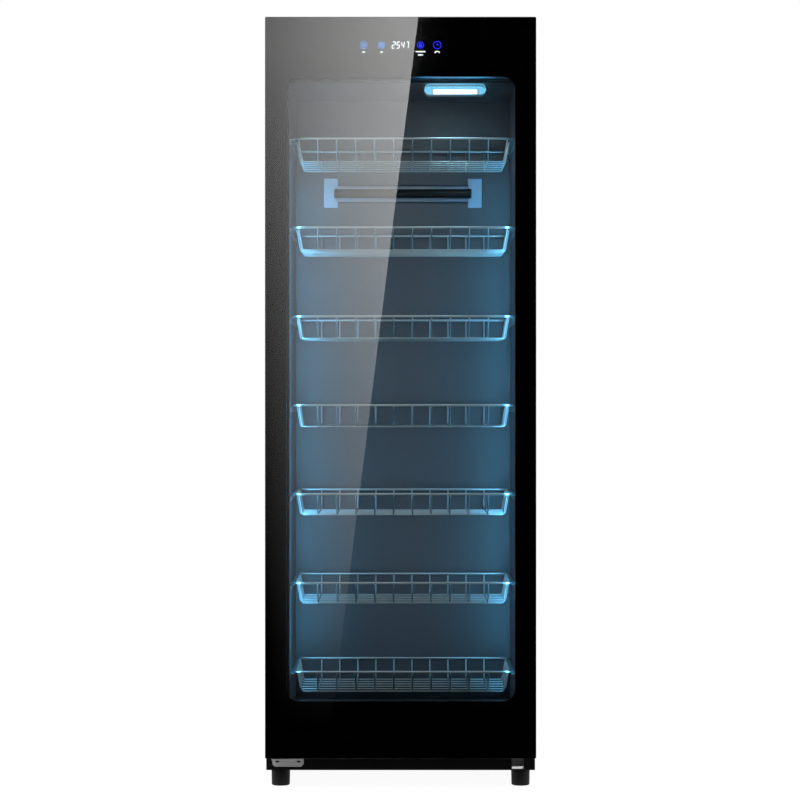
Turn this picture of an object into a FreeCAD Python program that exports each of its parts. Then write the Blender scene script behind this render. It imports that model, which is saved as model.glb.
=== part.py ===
import FreeCAD, Part
import os
import re
import Sketcher

# Dish sterilizer cabinet: a tall single-door cabinet on four feet with a glass door and wire baskets.
# Millimetres. X runs to the right, Y to the back, Z up. The origin lies under the middle of the cabinet.

doc = FreeCAD.newDocument("DishSterilizerCabinet")

# ---------------------------------------------------------------- driving sizes

driving_sizes = (
    # whole cabinet
    ("cabinet_width", "560"),
    ("cabinet_depth", "430"),
    ("cabinet_height", "1597"),
    # feet
    ("foot_height", "35"),
    ("foot_top_diameter", "39.6"),
    ("foot_bottom_diameter", "38"),
    ("foot_edge", "2.6"),
    ("foot_side_inset", "29"),
    ("foot_front_inset", "32"),
    ("foot_rear_inset", "45"),
    # outer shell
    ("steel", "1.2"),
    ("overshoot", "1"),
    ("rear_return", "25"),
    ("panel_overlap", "28"),
    ("swage_width", "46"),
    ("swage_depth", "0.9"),
    ("swage_bend", "4"),
    ("swage_spacing", "210"),
    ("screw_across_flats", "7"),
    ("screw_head", "2.2"),
    ("panel_screw_inset", "14"),
    ("panel_screw_rows", "4"),
    # cavity and its liner
    ("left_wall", "48.6"),
    ("right_wall", "38.6"),
    ("rear_wall", "39.6"),
    ("ceiling_wall", "125.8"),
    ("cavity_floor", "150"),
    ("liner", "1"),
    ("blanket", "12"),
    # door
    ("door_thickness", "42"),
    ("door_gap", "8"),
    ("plinth_reveal", "31"),
    ("glass", "4"),
    ("print_film", "0.4"),
    ("side_border", "43.2"),
    ("top_border", "123.7"),
    ("bottom_border", "117.7"),
    ("window_radius", "26"),
    ("frame_inset", "2"),
    ("frame_top_drop", "8"),
    ("profile_wall", "2"),
    ("groove_depth", "6"),
    ("groove_width", "4.4"),
    ("groove_back_wall", "5.8"),
    ("grip_depth", "12"),
    ("grip_width", "16"),
    ("grip_front_wall", "12"),
    ("seal_width", "16"),
    ("seal_neck", "9"),
    ("seal_layer", "2.4"),
    ("seal_margin", "3"),
    ("running_gap", "0.3"),
    ("pane_play", "1"),
    # hinges
    ("hinge_inset", "20"),
    ("hinge_setback", "14"),
    ("pin_diameter", "8"),
    ("pin_clearance", "0.05"),
    ("pin_engagement", "24"),
    ("pin_end_room", "2"),
    ("bush_collar", "18"),
    ("bush_plug", "32"),
    ("hinge_plate", "3"),
    ("hinge_leaf_edge", "7"),
    ("hinge_leaf_front", "8"),
    ("hinge_length", "65"),
    ("hinge_flange", "21.5"),
    ("hinge_leaf_drop", "2"),
    ("hinge_chamfer", "5"),
    ("hinge_eye_chamfer", "3"),
    ("hinge_swing_room", "3"),
    ("hinge_screw_spacing", "45"),
    ("hinge_screw_edge", "3"),
    ("upper_hinge_reach", "34"),
    # catch on the plinth
    ("catch_width", "25"),
    ("catch_height", "20"),
    ("catch_edge", "24"),
    ("catch_lift", "4.5"),
    ("catch_lip", "22"),
    ("catch_sheet", "1.5"),
    ("catch_bar_height", "4.6"),
    ("catch_bar_depth", "9"),
    ("catch_bar_chamfer", "3"),
    # touch panel behind the top of the glass
    ("touch_board_width", "190"),
    ("touch_board_height", "36"),
    ("circuit_board", "1.6"),
    ("touch_drop", "57"),
    ("touch_margin", "4"),
    ("display_width", "40"),
    ("display_height", "14"),
    ("display_depth", "6"),
    # wire baskets and the rails that carry them
    ("basket_side_gap", "7.1"),
    ("basket_rear_gap", "17"),
    ("basket_height", "42"),
    ("basket_front", "25"),
    ("basket_front_slope", "38"),
    ("basket_back_slope", "10"),
    ("basket_side_slope", "10"),
    ("basket_corner", "14"),
    ("lowest_rim", "237"),
    ("highest_rim_room", "113"),
    ("basket_count", "7"),
    ("rim_diameter", "5"),
    ("wire_diameter", "2.8"),
    ("wire_stub", "2"),
    ("weld_rise", "1"),
    ("long_wire_margin", "50.65"),
    ("long_wire_count", "10"),
    ("cross_wire_count", "6"),
    ("cross_wire_inset", "4"),
    ("rail_thickness", "1.5"),
    ("rail_web", "12"),
    ("rail_front_inset", "6"),
    ("rail_rear_inset", "6"),
    # lamp under the ceiling
    ("lamp_width", "128"),
    ("lamp_height", "23.5"),
    ("lamp_depth", "36"),
    ("lamp_front", "10"),
    ("lamp_side_gap", "63.4"),
    ("lamp_wall", "1.5"),
    ("lamp_tube_diameter", "11"),
    ("lamp_tube_length", "100"),
    ("lamp_tube_gap", "1"),
    # infrared heater on the back wall
    ("heater_lift", "94"),
    ("reflector_width", "287"),
    ("reflector_height", "40"),
    ("reflector_depth", "8"),
    ("reflector_lip", "3"),
    ("heater_sheet", "1"),
    ("heater_tube_diameter", "21"),
    ("heater_tube_end", "7.5"),
    ("heater_tube_gap", "1"),
    ("bracket_width", "31"),
    ("bracket_low", "30"),
    ("bracket_high", "34"),
    ("bracket_sheet", "2"),
    ("saddle_height", "12"),
    # hot-air fan in the base
    ("grille_width", "176"),
    ("grille_length", "136"),
    ("grille_margin", "12"),
    ("grille_sheet", "1.5"),
    ("grille_slot", "6"),
    ("grille_slot_count", "11"),
    ("grille_slot_pitch", "12"),
    ("air_heater_height", "14"),
    ("air_heater_margin", "4"),
    ("fin_count", "9"),
    ("fin_slot", "7"),
    ("duct_inner_diameter", "112"),
    ("duct_wall", "2"),
    ("duct_height", "48"),
    ("duct_flange", "17"),
    ("intake_count", "6"),
    ("intake_width", "14"),
    ("intake_margin", "8"),
    ("motor_diameter", "42"),
    ("motor_height", "40"),
    ("motor_seat", "4"),
    ("shaft_diameter", "6"),
    ("wheel_diameter", "98"),
    ("wheel_height", "28"),
    ("wheel_plate", "2"),
    ("wheel_lift", "5"),
    ("hub_diameter", "22"),
    ("blade_count", "12"),
    ("blade_thickness", "1.6"),
    ("blade_length", "20"),
    ("blade_edge", "1"),
    # electrical pieces in the base
    ("board_width", "130"),
    ("board_length", "90"),
    ("standoff", "8"),
    ("board_side_inset", "26"),
    ("board_rear_inset", "95"),
    ("transformer", "34"),
    ("ballast_width", "40"),
    ("ballast_length", "120"),
    ("ballast_height", "28"),
    ("ballast_ear", "10"),
    ("ozone_width", "48"),
    ("ozone_length", "72"),
    ("ozone_height", "32"),
    ("nozzle_diameter", "12"),
    ("nozzle_length", "18"),
    ("inlet_width", "27"),
    ("inlet_height", "20"),
    ("inlet_depth", "22"),
    ("inlet_flange", "5"),
    ("inlet_wall", "2"),
    ("inlet_back_wall", "5"),
    ("inlet_contact", "2"),
    ("inlet_contact_pitch", "7"),
    ("inlet_contact_recess", "3"),
    ("inlet_side_inset", "80"),
    ("inlet_lift", "28"),
    ("vent_width", "120"),
    ("vent_slot", "4"),
    ("vent_pitch", "10"),
    ("vent_count", "5"),
    ("vent_lift", "30"),
    ("switch_length", "30"),
    ("switch_height", "10"),
    ("switch_depth", "7"),
    ("switch_lift", "75"),
    ("switch_side", "150"),
)

sheet = doc.addObject("Spreadsheet::Sheet", "Sizes")
for row, (alias, text) in enumerate(driving_sizes, start=1):
    sheet.set(f"A{row}", alias)
    sheet.set(f"B{row}", text)
    sheet.setAlias(f"B{row}", alias)
doc.recompute()

# ---------------------------------------------------------------- places worked out from the sizes

derived_places = (
    ("half_width", "cabinet_width / 2"),
    ("door_front", "-cabinet_depth / 2"),
    ("door_back", "door_front + door_thickness"),
    ("body_front", "door_back + door_gap"),
    ("panel_face", "cabinet_depth / 2 - screw_head"),
    ("shell_back", "panel_face - steel"),
    ("body_bottom", "foot_height"),
    ("body_top", "cabinet_height - hinge_plate - screw_head"),
    ("cavity_left", "-half_width + left_wall"),
    ("cavity_right", "half_width - right_wall"),
    ("cavity_back", "shell_back - rear_wall"),
    ("cavity_ceiling", "body_top - ceiling_wall"),
    ("cavity_width", "cavity_right - cavity_left"),
    ("cavity_depth", "cavity_back - body_front"),
    ("cavity_offset", "(cavity_left + cavity_right) / 2"),
    ("liner_left_face", "cavity_left - liner"),
    ("liner_right_face", "cavity_right + liner"),
    ("base_top", "cavity_floor - liner"),
    ("base_floor", "body_bottom + steel"),
    ("door_bottom", "foot_height + plinth_reveal"),
    ("window_side", "half_width - side_border"),
    ("window_bottom", "door_bottom + bottom_border"),
    ("window_top", "cabinet_height - top_border"),
    ("frame_side", "half_width - frame_inset"),
    ("frame_bottom", "door_bottom + frame_inset"),
    ("frame_top", "cabinet_height - frame_top_drop"),
    ("frame_front", "door_front + glass + print_film"),
    ("groove_back", "door_back - groove_back_wall"),
    ("groove_front", "groove_back - groove_width"),
    ("hinge_x", "-half_width + hinge_inset"),
    ("hinge_y", "door_front + hinge_setback"),
    ("leaf_top", "door_bottom - hinge_leaf_drop"),
    ("leaf_bottom", "leaf_top - hinge_plate"),
    ("leaf_left", "hinge_x - hinge_leaf_edge"),
    ("leaf_front", "hinge_y - hinge_leaf_front"),
    ("hinge_swing", "sqrt(hinge_inset ^ 2 + hinge_setback ^ 2) + hinge_swing_room"),
    ("pin_radius", "pin_diameter / 2"),
    ("pin_hole_diameter", "pin_diameter + 2 * pin_clearance"),
    ("seal_x", "cavity_width / 2 + cavity_offset + seal_margin + seal_width / 2"),
    ("seal_low", "cavity_floor - seal_margin - seal_width / 2"),
    ("seal_high", "cavity_ceiling + seal_margin + seal_width / 2"),
    ("seal_depth", "door_gap - running_gap"),
    ("touch_height", "cabinet_height - touch_drop"),
    ("rail_top", "-rim_diameter / 2 - running_gap"),
    ("basket_y", "body_front + basket_front"),
    ("basket_width", "cavity_width - 2 * basket_side_gap"),
    ("basket_depth", "cavity_depth - basket_front - basket_rear_gap"),
    ("basket_pitch", "(cavity_ceiling - highest_rim_room - lowest_rim) / (basket_count - 1)"),
    ("long_wire_pitch", "(basket_width - 2 * long_wire_margin) / (long_wire_count - 1)"),
    ("wire_top", "-rim_diameter / 2"),
    ("cross_wire_z", "-basket_height - wire_diameter"),
    ("rail_reach", "(cavity_width - basket_width) / 2 + rim_diameter / 2 - running_gap"),
    ("cross_wire_side", "basket_width / 2 - rim_diameter / 2 - wire_diameter / 2"),
    ("lamp_low", "cavity_ceiling - lamp_height"),
    ("lamp_face", "body_front + lamp_front"),
    ("lamp_offset", "cavity_right - lamp_side_gap - lamp_width / 2"),
    ("lamp_half", "lamp_width / 2 - lamp_height / 2"),
    ("heater_height", "cavity_ceiling - highest_rim_room - basket_pitch + heater_lift"),
    ("heater_tube_length", "reflector_width + 2 * heater_tube_end"),
    ("heater_y", "cavity_back - reflector_depth - heater_tube_diameter / 2 - heater_tube_gap"),
    ("duct_x", "cavity_offset"),
    ("duct_y", "body_front + cavity_depth / 2"),
    ("duct_top", "base_top - air_heater_height"),
    ("duct_bottom", "duct_top - duct_height"),
    ("wheel_bottom", "duct_bottom + duct_wall + wheel_lift"),
    ("catch_right", "half_width - catch_edge"),
    ("catch_left", "catch_right - catch_width"),
    ("catch_bottom", "body_bottom + catch_lift"),
    ("inlet_x", "-half_width + inlet_side_inset"),
    ("inlet_z", "body_bottom + inlet_lift"),
)

size_names = {alias for alias, text in driving_sizes}
place_names = {name for name, text in derived_places}
layout = doc.addObject("App::VarSet", "Layout")


def formula(text):
    # Puts the owning object's name before every size and place that the text uses.
    def qualify(match):
        word = match.group(0)
        if word in size_names:
            return "Sizes." + word
        if word in place_names:
            return "Layout." + word
        return word
    return re.sub(r"[a-z][a-z_]*", qualify, text)


for name, text in derived_places:
    layout.addProperty("App::PropertyFloat", name, "Places", "")
    layout.setExpression(name, formula(text))
doc.recompute()


def value(text):
    # The number that a formula gives now.
    return float(layout.evalExpression(formula(text)))


# ---------------------------------------------------------------- building blocks

nodes = []
wire_sides = 6
rim_sides = 8
hole_sides = 16
round_sides = 24
coarse_sides = 12


def bind(item, prop, text):
    item.setExpression(prop, formula(text))


def node(item):
    nodes.append(item)
    return item


def block(name, x_span, y_span, z_span):
    item = doc.addObject("Part::Box", name)
    for prop, axis, (low, high) in (
        ("Length", "x", x_span), ("Width", "y", y_span), ("Height", "z", z_span),
    ):
        bind(item, prop, f"({high}) - ({low})")
        bind(item, f"Placement.Base.{axis}", low)
    return item


def rod(name, radius, length, start, axis="z"):
    # A cylinder that starts at the point start and runs along +axis.
    item = doc.addObject("Part::Cylinder", name)
    turns = {
        "x": FreeCAD.Rotation(FreeCAD.Vector(0, 1, 0), 90),
        "y": FreeCAD.Rotation(FreeCAD.Vector(1, 0, 0), -90),
        "z": FreeCAD.Rotation(),
    }
    item.Placement = FreeCAD.Placement(FreeCAD.Vector(), turns[axis])
    bind(item, "Radius", radius)
    bind(item, "Height", length)
    for letter, text in zip("xyz", start):
        bind(item, f"Placement.Base.{letter}", text)
    return item


def hexagon_head(name, across_flats, height, start, axis):
    item = doc.addObject("Part::Prism", name)
    turns = {
        "y": FreeCAD.Rotation(FreeCAD.Vector(1, 0, 0), -90),
        "z": FreeCAD.Rotation(),
    }
    item.Placement = FreeCAD.Placement(FreeCAD.Vector(), turns[axis])
    item.Polygon = wire_sides
    bind(item, "Circumradius", f"({across_flats}) / 2 / cos(30)")
    bind(item, "Height", height)
    for letter, text in zip("xyz", start):
        bind(item, f"Placement.Base.{letter}", text)
    return item


def subtract(name, base, tools):
    tool = tools[0]
    if len(tools) > 1:
        tool = join(name + "_tools", tools)
    item = doc.addObject("Part::Cut", name)
    item.Base = base
    item.Tool = tool
    return item


def join(name, pieces):
    item = doc.addObject("Part::MultiFuse", name)
    item.Shapes = pieces
    return item


def group(name, pieces):
    item = doc.addObject("Part::Compound", name)
    item.Links = pieces
    return item


def origin_item(body, role):
    return next(item for item in body.Origin.OriginFeatures if item.Role == role)


def new_body(name):
    body = doc.addObject("PartDesign::Body", name)
    body.AllowCompound = True
    return body


def draw(body, name, role, offset, loops):
    # A sketch of closed polygons, each corner held by two formulas, on a plane of the body's own origin.
    sketch = body.newObject("Sketcher::SketchObject", name)
    sketch.AttachmentSupport = [(origin_item(body, role), "")]
    sketch.MapMode = "FlatFace"
    bind(sketch, "AttachmentOffset.Base.z", offset)
    for loop in loops:
        add_lines(sketch, loop, closed=True)
    return sketch


def add_lines(sketch, points, closed):
    first = sketch.GeometryCount
    spots = [FreeCAD.Vector(value(across), value(up), 0) for across, up in points]
    count = len(points) if closed else len(points) - 1
    for index in range(count):
        sketch.addGeometry(Part.LineSegment(spots[index], spots[(index + 1) % len(spots)]))
    joints = range(count) if closed else range(count - 1)
    for index in joints:
        following = first + (index + 1) % count
        sketch.addConstraint(Sketcher.Constraint("Coincident", first + index, 2, following, 1))
    for index, (across, up) in enumerate(points):
        line, end = (first + index, 1) if index < count else (first + index - 1, 2)
        for kind, text, number in (("DistanceX", across, spots[index].x), ("DistanceY", up, spots[index].y)):
            rule = sketch.addConstraint(Sketcher.Constraint(kind, -1, 1, line, end, number))
            sketch.setExpression(f"Constraints[{rule}]", formula(text))


def rectangle(low, high, bottom, top):
    return ((low, bottom), (high, bottom), (high, top), (low, top))


def regular_polygon(centre, across_flats, sides, turn):
    # Corners of a regular polygon; turn is the angle of its first corner in degrees.
    corners = []
    for index in range(sides):
        angle = turn + 360 * index / sides
        reach = f"({across_flats}) / 2 / cos({180 / sides})"
        corners.append((f"{centre[0]} + {reach} * cos({angle})", f"{centre[1]} + {reach} * sin({angle})"))
    return corners


def add_pad(body, name, role, loops, start, end):
    # Material between two heights on the plane's axis. The XZ plane's own normal is -Y.
    backwards = role == "XZ_Plane"
    offset = f"-({start})" if backwards else start
    pad = body.newObject("PartDesign::Pad", name)
    pad.Profile = draw(body, name + "_sketch", role, offset, loops)
    pad.Reversed = backwards
    bind(pad, "Length", f"({end}) - ({start})")
    body.Tip = pad
    return pad


def add_pocket(body, name, role, loops, start, end):
    # Removes what lies between two heights on the plane's axis.
    backwards = role == "XZ_Plane"
    offset = f"-({start})" if backwards else start
    pocket = body.newObject("PartDesign::Pocket", name)
    pocket.Profile = draw(body, name + "_sketch", role, offset, loops)
    pocket.Reversed = not backwards
    bind(pocket, "Length", f"({end}) - ({start})")
    body.Tip = pocket
    return pocket


def add_revolution(body, name, points):
    # A turned shape about the body's own Z axis, from a half section in its XZ plane.
    turned = body.newObject("PartDesign::Revolution", name)
    turned.Profile = draw(body, name + "_sketch", "XZ_Plane", "0", [points])
    turned.ReferenceAxis = (turned.Profile[0], ["V_Axis"])
    turned.Angle = 360
    body.Tip = turned
    return turned


def repeat_along(body, name, feature, role, pitch, count):
    pattern = body.newObject("PartDesign::LinearPattern", name)
    pattern.Originals = [feature]
    pattern.Direction = (origin_item(body, role), [""])
    bind(pattern, "Occurrences", count)
    bind(pattern, "Length", f"({pitch}) * (({count}) - 1)")
    body.Tip = pattern
    return pattern


def repeat_around(body, name, feature, count):
    pattern = body.newObject("PartDesign::PolarPattern", name)
    pattern.Originals = [feature]
    pattern.Axis = (origin_item(body, "Z_Axis"), [""])
    pattern.Angle = 360
    bind(pattern, "Occurrences", count)
    body.Tip = pattern
    return pattern


def place(item, across, back, up):
    bind(item, "Placement.Base.x", across)
    bind(item, "Placement.Base.y", back)
    bind(item, "Placement.Base.z", up)


def edge_names(shape, wanted):
    return [f"Edge{index}" for index, edge in enumerate(shape.Edges, start=1) if wanted(edge)]


def runs_along(edge, direction):
    start, end = edge.firstVertex().Point, edge.lastVertex().Point
    line = (end - start).normalize()
    return len(edge.Vertexes) == 2 and abs(abs(line.dot(direction)) - 1) < 1e-6


def add_pipe(body, name, spine_role, spine_points, closed, profile_role, profile_offset, profile_points):
    # A swept wire with mitred bends.
    spine = body.newObject("Sketcher::SketchObject", name + "_spine")
    spine.AttachmentSupport = [(origin_item(body, spine_role), "")]
    spine.MapMode = "FlatFace"
    add_lines(spine, spine_points, closed)
    pipe = body.newObject("PartDesign::AdditivePipe", name)
    pipe.Profile = draw(body, name + "_section", profile_role, profile_offset, [profile_points])
    pipe.Spine = (spine, [])
    pipe.Transition = "Right corner"
    body.Tip = pipe
    return pipe


# ---------------------------------------------------------------- outer shell

def side_panel(name, sign):
    # Folded steel skin: flat side with a narrow return at the back.
    outer = f"{sign} * half_width"
    inner = f"{sign} * (half_width - steel)"
    profile = (
        (outer, "body_front"),
        (inner, "body_front"),
        (inner, "shell_back - steel"),
        (f"{sign} * (half_width - rear_return)", "shell_back - steel"),
        (f"{sign} * (half_width - rear_return)", "shell_back"),
        (outer, "shell_back"),
    )
    body = new_body(name)
    add_pad(body, name + "_fold", "XY_Plane", [profile], "body_bottom", "body_top")
    return node(body)


def door_jamb(name, width):
    # Flat strip beside the doorway, between a side panel and the liner, that the door's seal meets.
    node(block(name, width, ("body_front", "body_front + steel"), ("body_bottom", "body_top")))


def corner_notches():
    # Where the jambs and the side panels' rear returns take the place of a pan or a top.
    front = ("body_front - steel", "body_front + steel")
    rear = ("shell_back - steel", "shell_back + steel")
    return [
        rectangle("-half_width", "liner_left_face", *front),
        rectangle("liner_right_face", "half_width", *front),
        rectangle("-half_width", "-half_width + rear_return", *rear),
        rectangle("half_width - rear_return", "half_width", *rear),
    ]


def top_panel():
    profile = (
        ("body_front", "cavity_ceiling + liner"),
        ("body_front + steel", "cavity_ceiling + liner"),
        ("body_front + steel", "body_top - steel"),
        ("shell_back - steel", "body_top - steel"),
        ("shell_back - steel", "body_top - rear_return"),
        ("shell_back", "body_top - rear_return"),
        ("shell_back", "body_top"),
        ("body_front", "body_top"),
    )
    body = new_body("top_panel")
    add_pad(body, "top_fold", "YZ_Plane", [profile], "-half_width + steel", "half_width - steel")
    add_pocket(body, "top_notches", "XY_Plane", corner_notches(), "cavity_ceiling", "cabinet_height")
    return node(body)


def base_pan():
    profile = (
        ("body_front", "body_bottom"),
        ("shell_back", "body_bottom"),
        ("shell_back", "base_top"),
        ("shell_back - steel", "base_top"),
        ("shell_back - steel", "base_floor"),
        ("body_front + steel", "base_floor"),
        ("body_front + steel", "base_top"),
        ("body_front", "base_top"),
    )
    body = new_body("base_pan")
    add_pad(body, "base_fold", "YZ_Plane", [profile], "-half_width + steel", "half_width - steel")
    add_pocket(body, "base_notches", "XY_Plane", corner_notches(), "0", "cavity_floor")
    rear_wall = ("shell_back - 2 * steel", "shell_back + steel")
    inlet_hole = rectangle(
        "inlet_x - inlet_width / 2", "inlet_x + inlet_width / 2",
        "inlet_z - inlet_height / 2", "inlet_z + inlet_height / 2",
    )
    add_pocket(body, "inlet_hole", "XZ_Plane", [inlet_hole], *rear_wall)
    first_slot = rectangle(
        "-vent_width / 2", "vent_width / 2",
        "body_bottom + vent_lift", "body_bottom + vent_lift + vent_slot",
    )
    slot = add_pocket(body, "vent_slot", "XZ_Plane", [first_slot], *rear_wall)
    repeat_along(body, "vent_slots", slot, "Z_Axis", "vent_pitch", "vent_count")
    return node(body)


def back_panel():
    # Flat sheet with two long shallow swages pressed outwards.
    corners = [("-half_width", "shell_back")]
    far_side = [("half_width", "panel_face")]
    for sign in ("-1", "1"):
        middle = f"{sign} * swage_spacing / 2"
        bends = (
            (f"{middle} - swage_width / 2", "0"),
            (f"{middle} - swage_width / 2 + swage_bend", "swage_depth"),
            (f"{middle} + swage_width / 2 - swage_bend", "swage_depth"),
            (f"{middle} + swage_width / 2", "0"),
        )
        corners += [(across, f"shell_back + {raised}") for across, raised in bends]
    corners.append(("half_width", "shell_back"))
    for sign in ("1", "-1"):
        middle = f"{sign} * swage_spacing / 2"
        bends = (
            (f"{middle} + swage_width / 2", "0"),
            (f"{middle} + swage_width / 2 - swage_bend", "swage_depth"),
            (f"{middle} - swage_width / 2 + swage_bend", "swage_depth"),
            (f"{middle} - swage_width / 2", "0"),
        )
        far_side += [(across, f"panel_face + {raised}") for across, raised in bends]
    far_side.append(("-half_width", "panel_face"))
    body = new_body("back_panel")
    add_pad(body, "back_sheet", "XY_Plane", [corners + far_side], "base_top - panel_overlap", "body_top")
    return node(body)


def insulation_blanket():
    # Felt blanket wrapped round the sides, back and top of the liner.
    shell = block(
        "blanket_outside", ("liner_left_face - blanket", "liner_right_face + blanket"),
        ("body_front + steel", "cavity_back + liner + blanket"),
        ("base_top", "cavity_ceiling + liner + blanket"),
    )
    cavity = block(
        "blanket_inside", ("liner_left_face", "liner_right_face"),
        ("body_front", "cavity_back + liner"), ("base_top - overshoot", "cavity_ceiling + liner"),
    )
    return node(subtract("insulation_blanket", shell, [cavity]))


def panel_screws():
    heads = []
    rows = int(value("panel_screw_rows"))
    low = "base_top - panel_overlap + panel_screw_inset"
    high = "body_top - panel_screw_inset"
    for row in range(rows):
        height = f"{low} + (({high}) - ({low})) * {row} / {rows - 1}"
        for side in ("-1", "1"):
            across = f"{side} * (half_width - rear_return / 2)"
            name = f"panel_screw_{len(heads) + 1}"
            start = (across, "panel_face", height)
            heads.append(hexagon_head(name, "screw_across_flats", "screw_head", start, "y"))
    return node(group("panel_screws", heads))


# ---------------------------------------------------------------- cavity

def liner_sheets():
    depth = ("body_front", "cavity_back + liner")
    height = ("cavity_floor", "cavity_ceiling")
    width = ("liner_left_face", "liner_right_face")
    node(block("liner_left", ("liner_left_face", "cavity_left"), depth, height))
    node(block("liner_right", ("cavity_right", "liner_right_face"), depth, height))
    node(block(
        "liner_back", ("cavity_left", "cavity_right"), ("cavity_back", "cavity_back + liner"), height,
    ))
    node(block("liner_top", width, depth, ("cavity_ceiling", "cavity_ceiling + liner")))
    floor = new_body("liner_floor")
    plan = rectangle(*width, *depth)
    add_pad(floor, "floor_sheet", "XY_Plane", [plan], "base_top", "cavity_floor")
    mouth = rectangle(
        "duct_x - grille_width / 2 + grille_margin", "duct_x + grille_width / 2 - grille_margin",
        "duct_y - grille_length / 2 + grille_margin", "duct_y + grille_length / 2 - grille_margin",
    )
    add_pocket(floor, "floor_mouth", "XY_Plane", [mouth], "base_top - liner", "cavity_floor + liner")
    node(floor)


def basket_rails(name, sign, wall):
    # Angle strips on one wall, one under each basket's rim.
    face = f"{wall} - {sign} * rail_thickness"
    tip = f"{wall} - {sign} * rail_reach"
    top = "lowest_rim + rail_top"
    profile = (
        (wall, top),
        (tip, top),
        (tip, f"{top} - rail_thickness"),
        (face, f"{top} - rail_thickness"),
        (face, f"{top} - rail_web"),
        (wall, f"{top} - rail_web"),
    )
    body = new_body(name)
    rail = add_pad(
        body, name + "_angle", "XZ_Plane", [profile],
        "body_front + rail_front_inset", "cavity_back - rail_rear_inset",
    )
    repeat_along(body, name + "_set", rail, "Z_Axis", "basket_pitch", "basket_count")
    return node(body)


def basket_wires():
    # The wires of one basket, about its own origin: the middle of the front rim, at the rim's centre.
    depth = "basket_depth"
    half = "basket_width / 2"
    corner = "basket_corner"

    long_body = new_body("long_wires")
    outermost = "-long_wire_pitch * (long_wire_count - 1) / 2"
    long_path = (
        ("0", "wire_top"),
        ("0", "wire_top - wire_stub"),
        ("basket_front_slope", "-basket_height"),
        (f"{depth} - basket_back_slope", "-basket_height"),
        (depth, "wire_top"),
    )
    long_section = regular_polygon(("0", "0"), "wire_diameter", wire_sides, 0)
    long_wire = add_pipe(
        long_body, "long_wire", "YZ_Plane", long_path, False, "XY_Plane", "wire_top", long_section,
    )
    repeat_along(long_body, "long_wire_set", long_wire, "X_Axis", "long_wire_pitch", "long_wire_count")
    bind(long_body, "Placement.Base.x", outermost)

    cross_body = new_body("cross_wires")
    cross_path = (
        ("-cross_wire_side", "weld_rise"),
        ("-cross_wire_side + basket_side_slope", "cross_wire_z"),
        ("cross_wire_side - basket_side_slope", "cross_wire_z"),
        ("cross_wire_side", "weld_rise"),
    )
    cross_section = regular_polygon(("-cross_wire_side", "0"), "wire_diameter", wire_sides, 180 / wire_sides)
    cross_wire = add_pipe(
        cross_body, "cross_wire", "XZ_Plane", cross_path, False, "XY_Plane", "weld_rise", cross_section,
    )
    first = "basket_front_slope + cross_wire_inset"
    last = "basket_depth - basket_corner - cross_wire_inset"
    pitch = f"(({last}) - ({first})) / (cross_wire_count - 1)"
    repeat_along(cross_body, "cross_wire_set", cross_wire, "Y_Axis", pitch, "cross_wire_count")
    bind(cross_body, "Placement.Base.y", first)

    rim_body = new_body("basket_rim")
    rim_path = (
        ("0", "0"),
        (f"{half} - {corner}", "0"),
        (half, corner),
        (half, f"{depth} - {corner}"),
        (f"{half} - {corner}", depth),
        (f"-{half} + {corner}", depth),
        (f"-{half}", f"{depth} - {corner}"),
        (f"-{half}", corner),
        (f"-{half} + {corner}", "0"),
    )
    rim_section = regular_polygon(("0", "0"), "rim_diameter", rim_sides, 180 / rim_sides)
    add_pipe(rim_body, "rim_wire", "XY_Plane", rim_path, True, "YZ_Plane", "0", rim_section)
    return [rim_body, long_body, cross_body]


def baskets():
    wires = basket_wires()
    for index in range(int(value("basket_count"))):
        basket = group(f"basket_{index + 1}", wires)
        place(basket, "cavity_offset", "basket_y", f"lowest_rim + basket_pitch * {index}")
        node(basket)


# ---------------------------------------------------------------- lamp and heater in the cavity

def lamp():
    centre = "cavity_ceiling - lamp_height / 2"

    def stadium(name, radius, start, end):
        # A flat-topped pill: a bar between two round ends.
        middle = block(
            name + "_bar", ("lamp_offset - lamp_half", "lamp_offset + lamp_half"),
            (start, end), (f"{centre} - ({radius})", f"{centre} + ({radius})"),
        )
        ends = [
            rod(
                f"{name}_end_{side}", radius, f"({end}) - ({start})",
                (f"lamp_offset {sign} lamp_half", start, centre), "y",
            )
            for side, sign in (("left", "-"), ("right", "+"))
        ]
        return join(name, [middle] + ends)

    shell = stadium("lamp_shell", "lamp_height / 2", "lamp_face", "lamp_face + lamp_depth")
    hollow = stadium(
        "lamp_hollow", "lamp_height / 2 - lamp_wall", "lamp_face - overshoot",
        "lamp_face + lamp_depth - lamp_wall",
    )
    node(subtract("lamp_housing", shell, [hollow]))
    radius = "lamp_tube_diameter / 2"
    node(rod(
        "lamp_tube", radius, "lamp_tube_length",
        (
            "lamp_offset - lamp_tube_length / 2", f"lamp_face + {radius} + lamp_tube_gap",
            f"lamp_low + lamp_wall + {radius}",
        ),
        "x",
    ))


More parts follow.
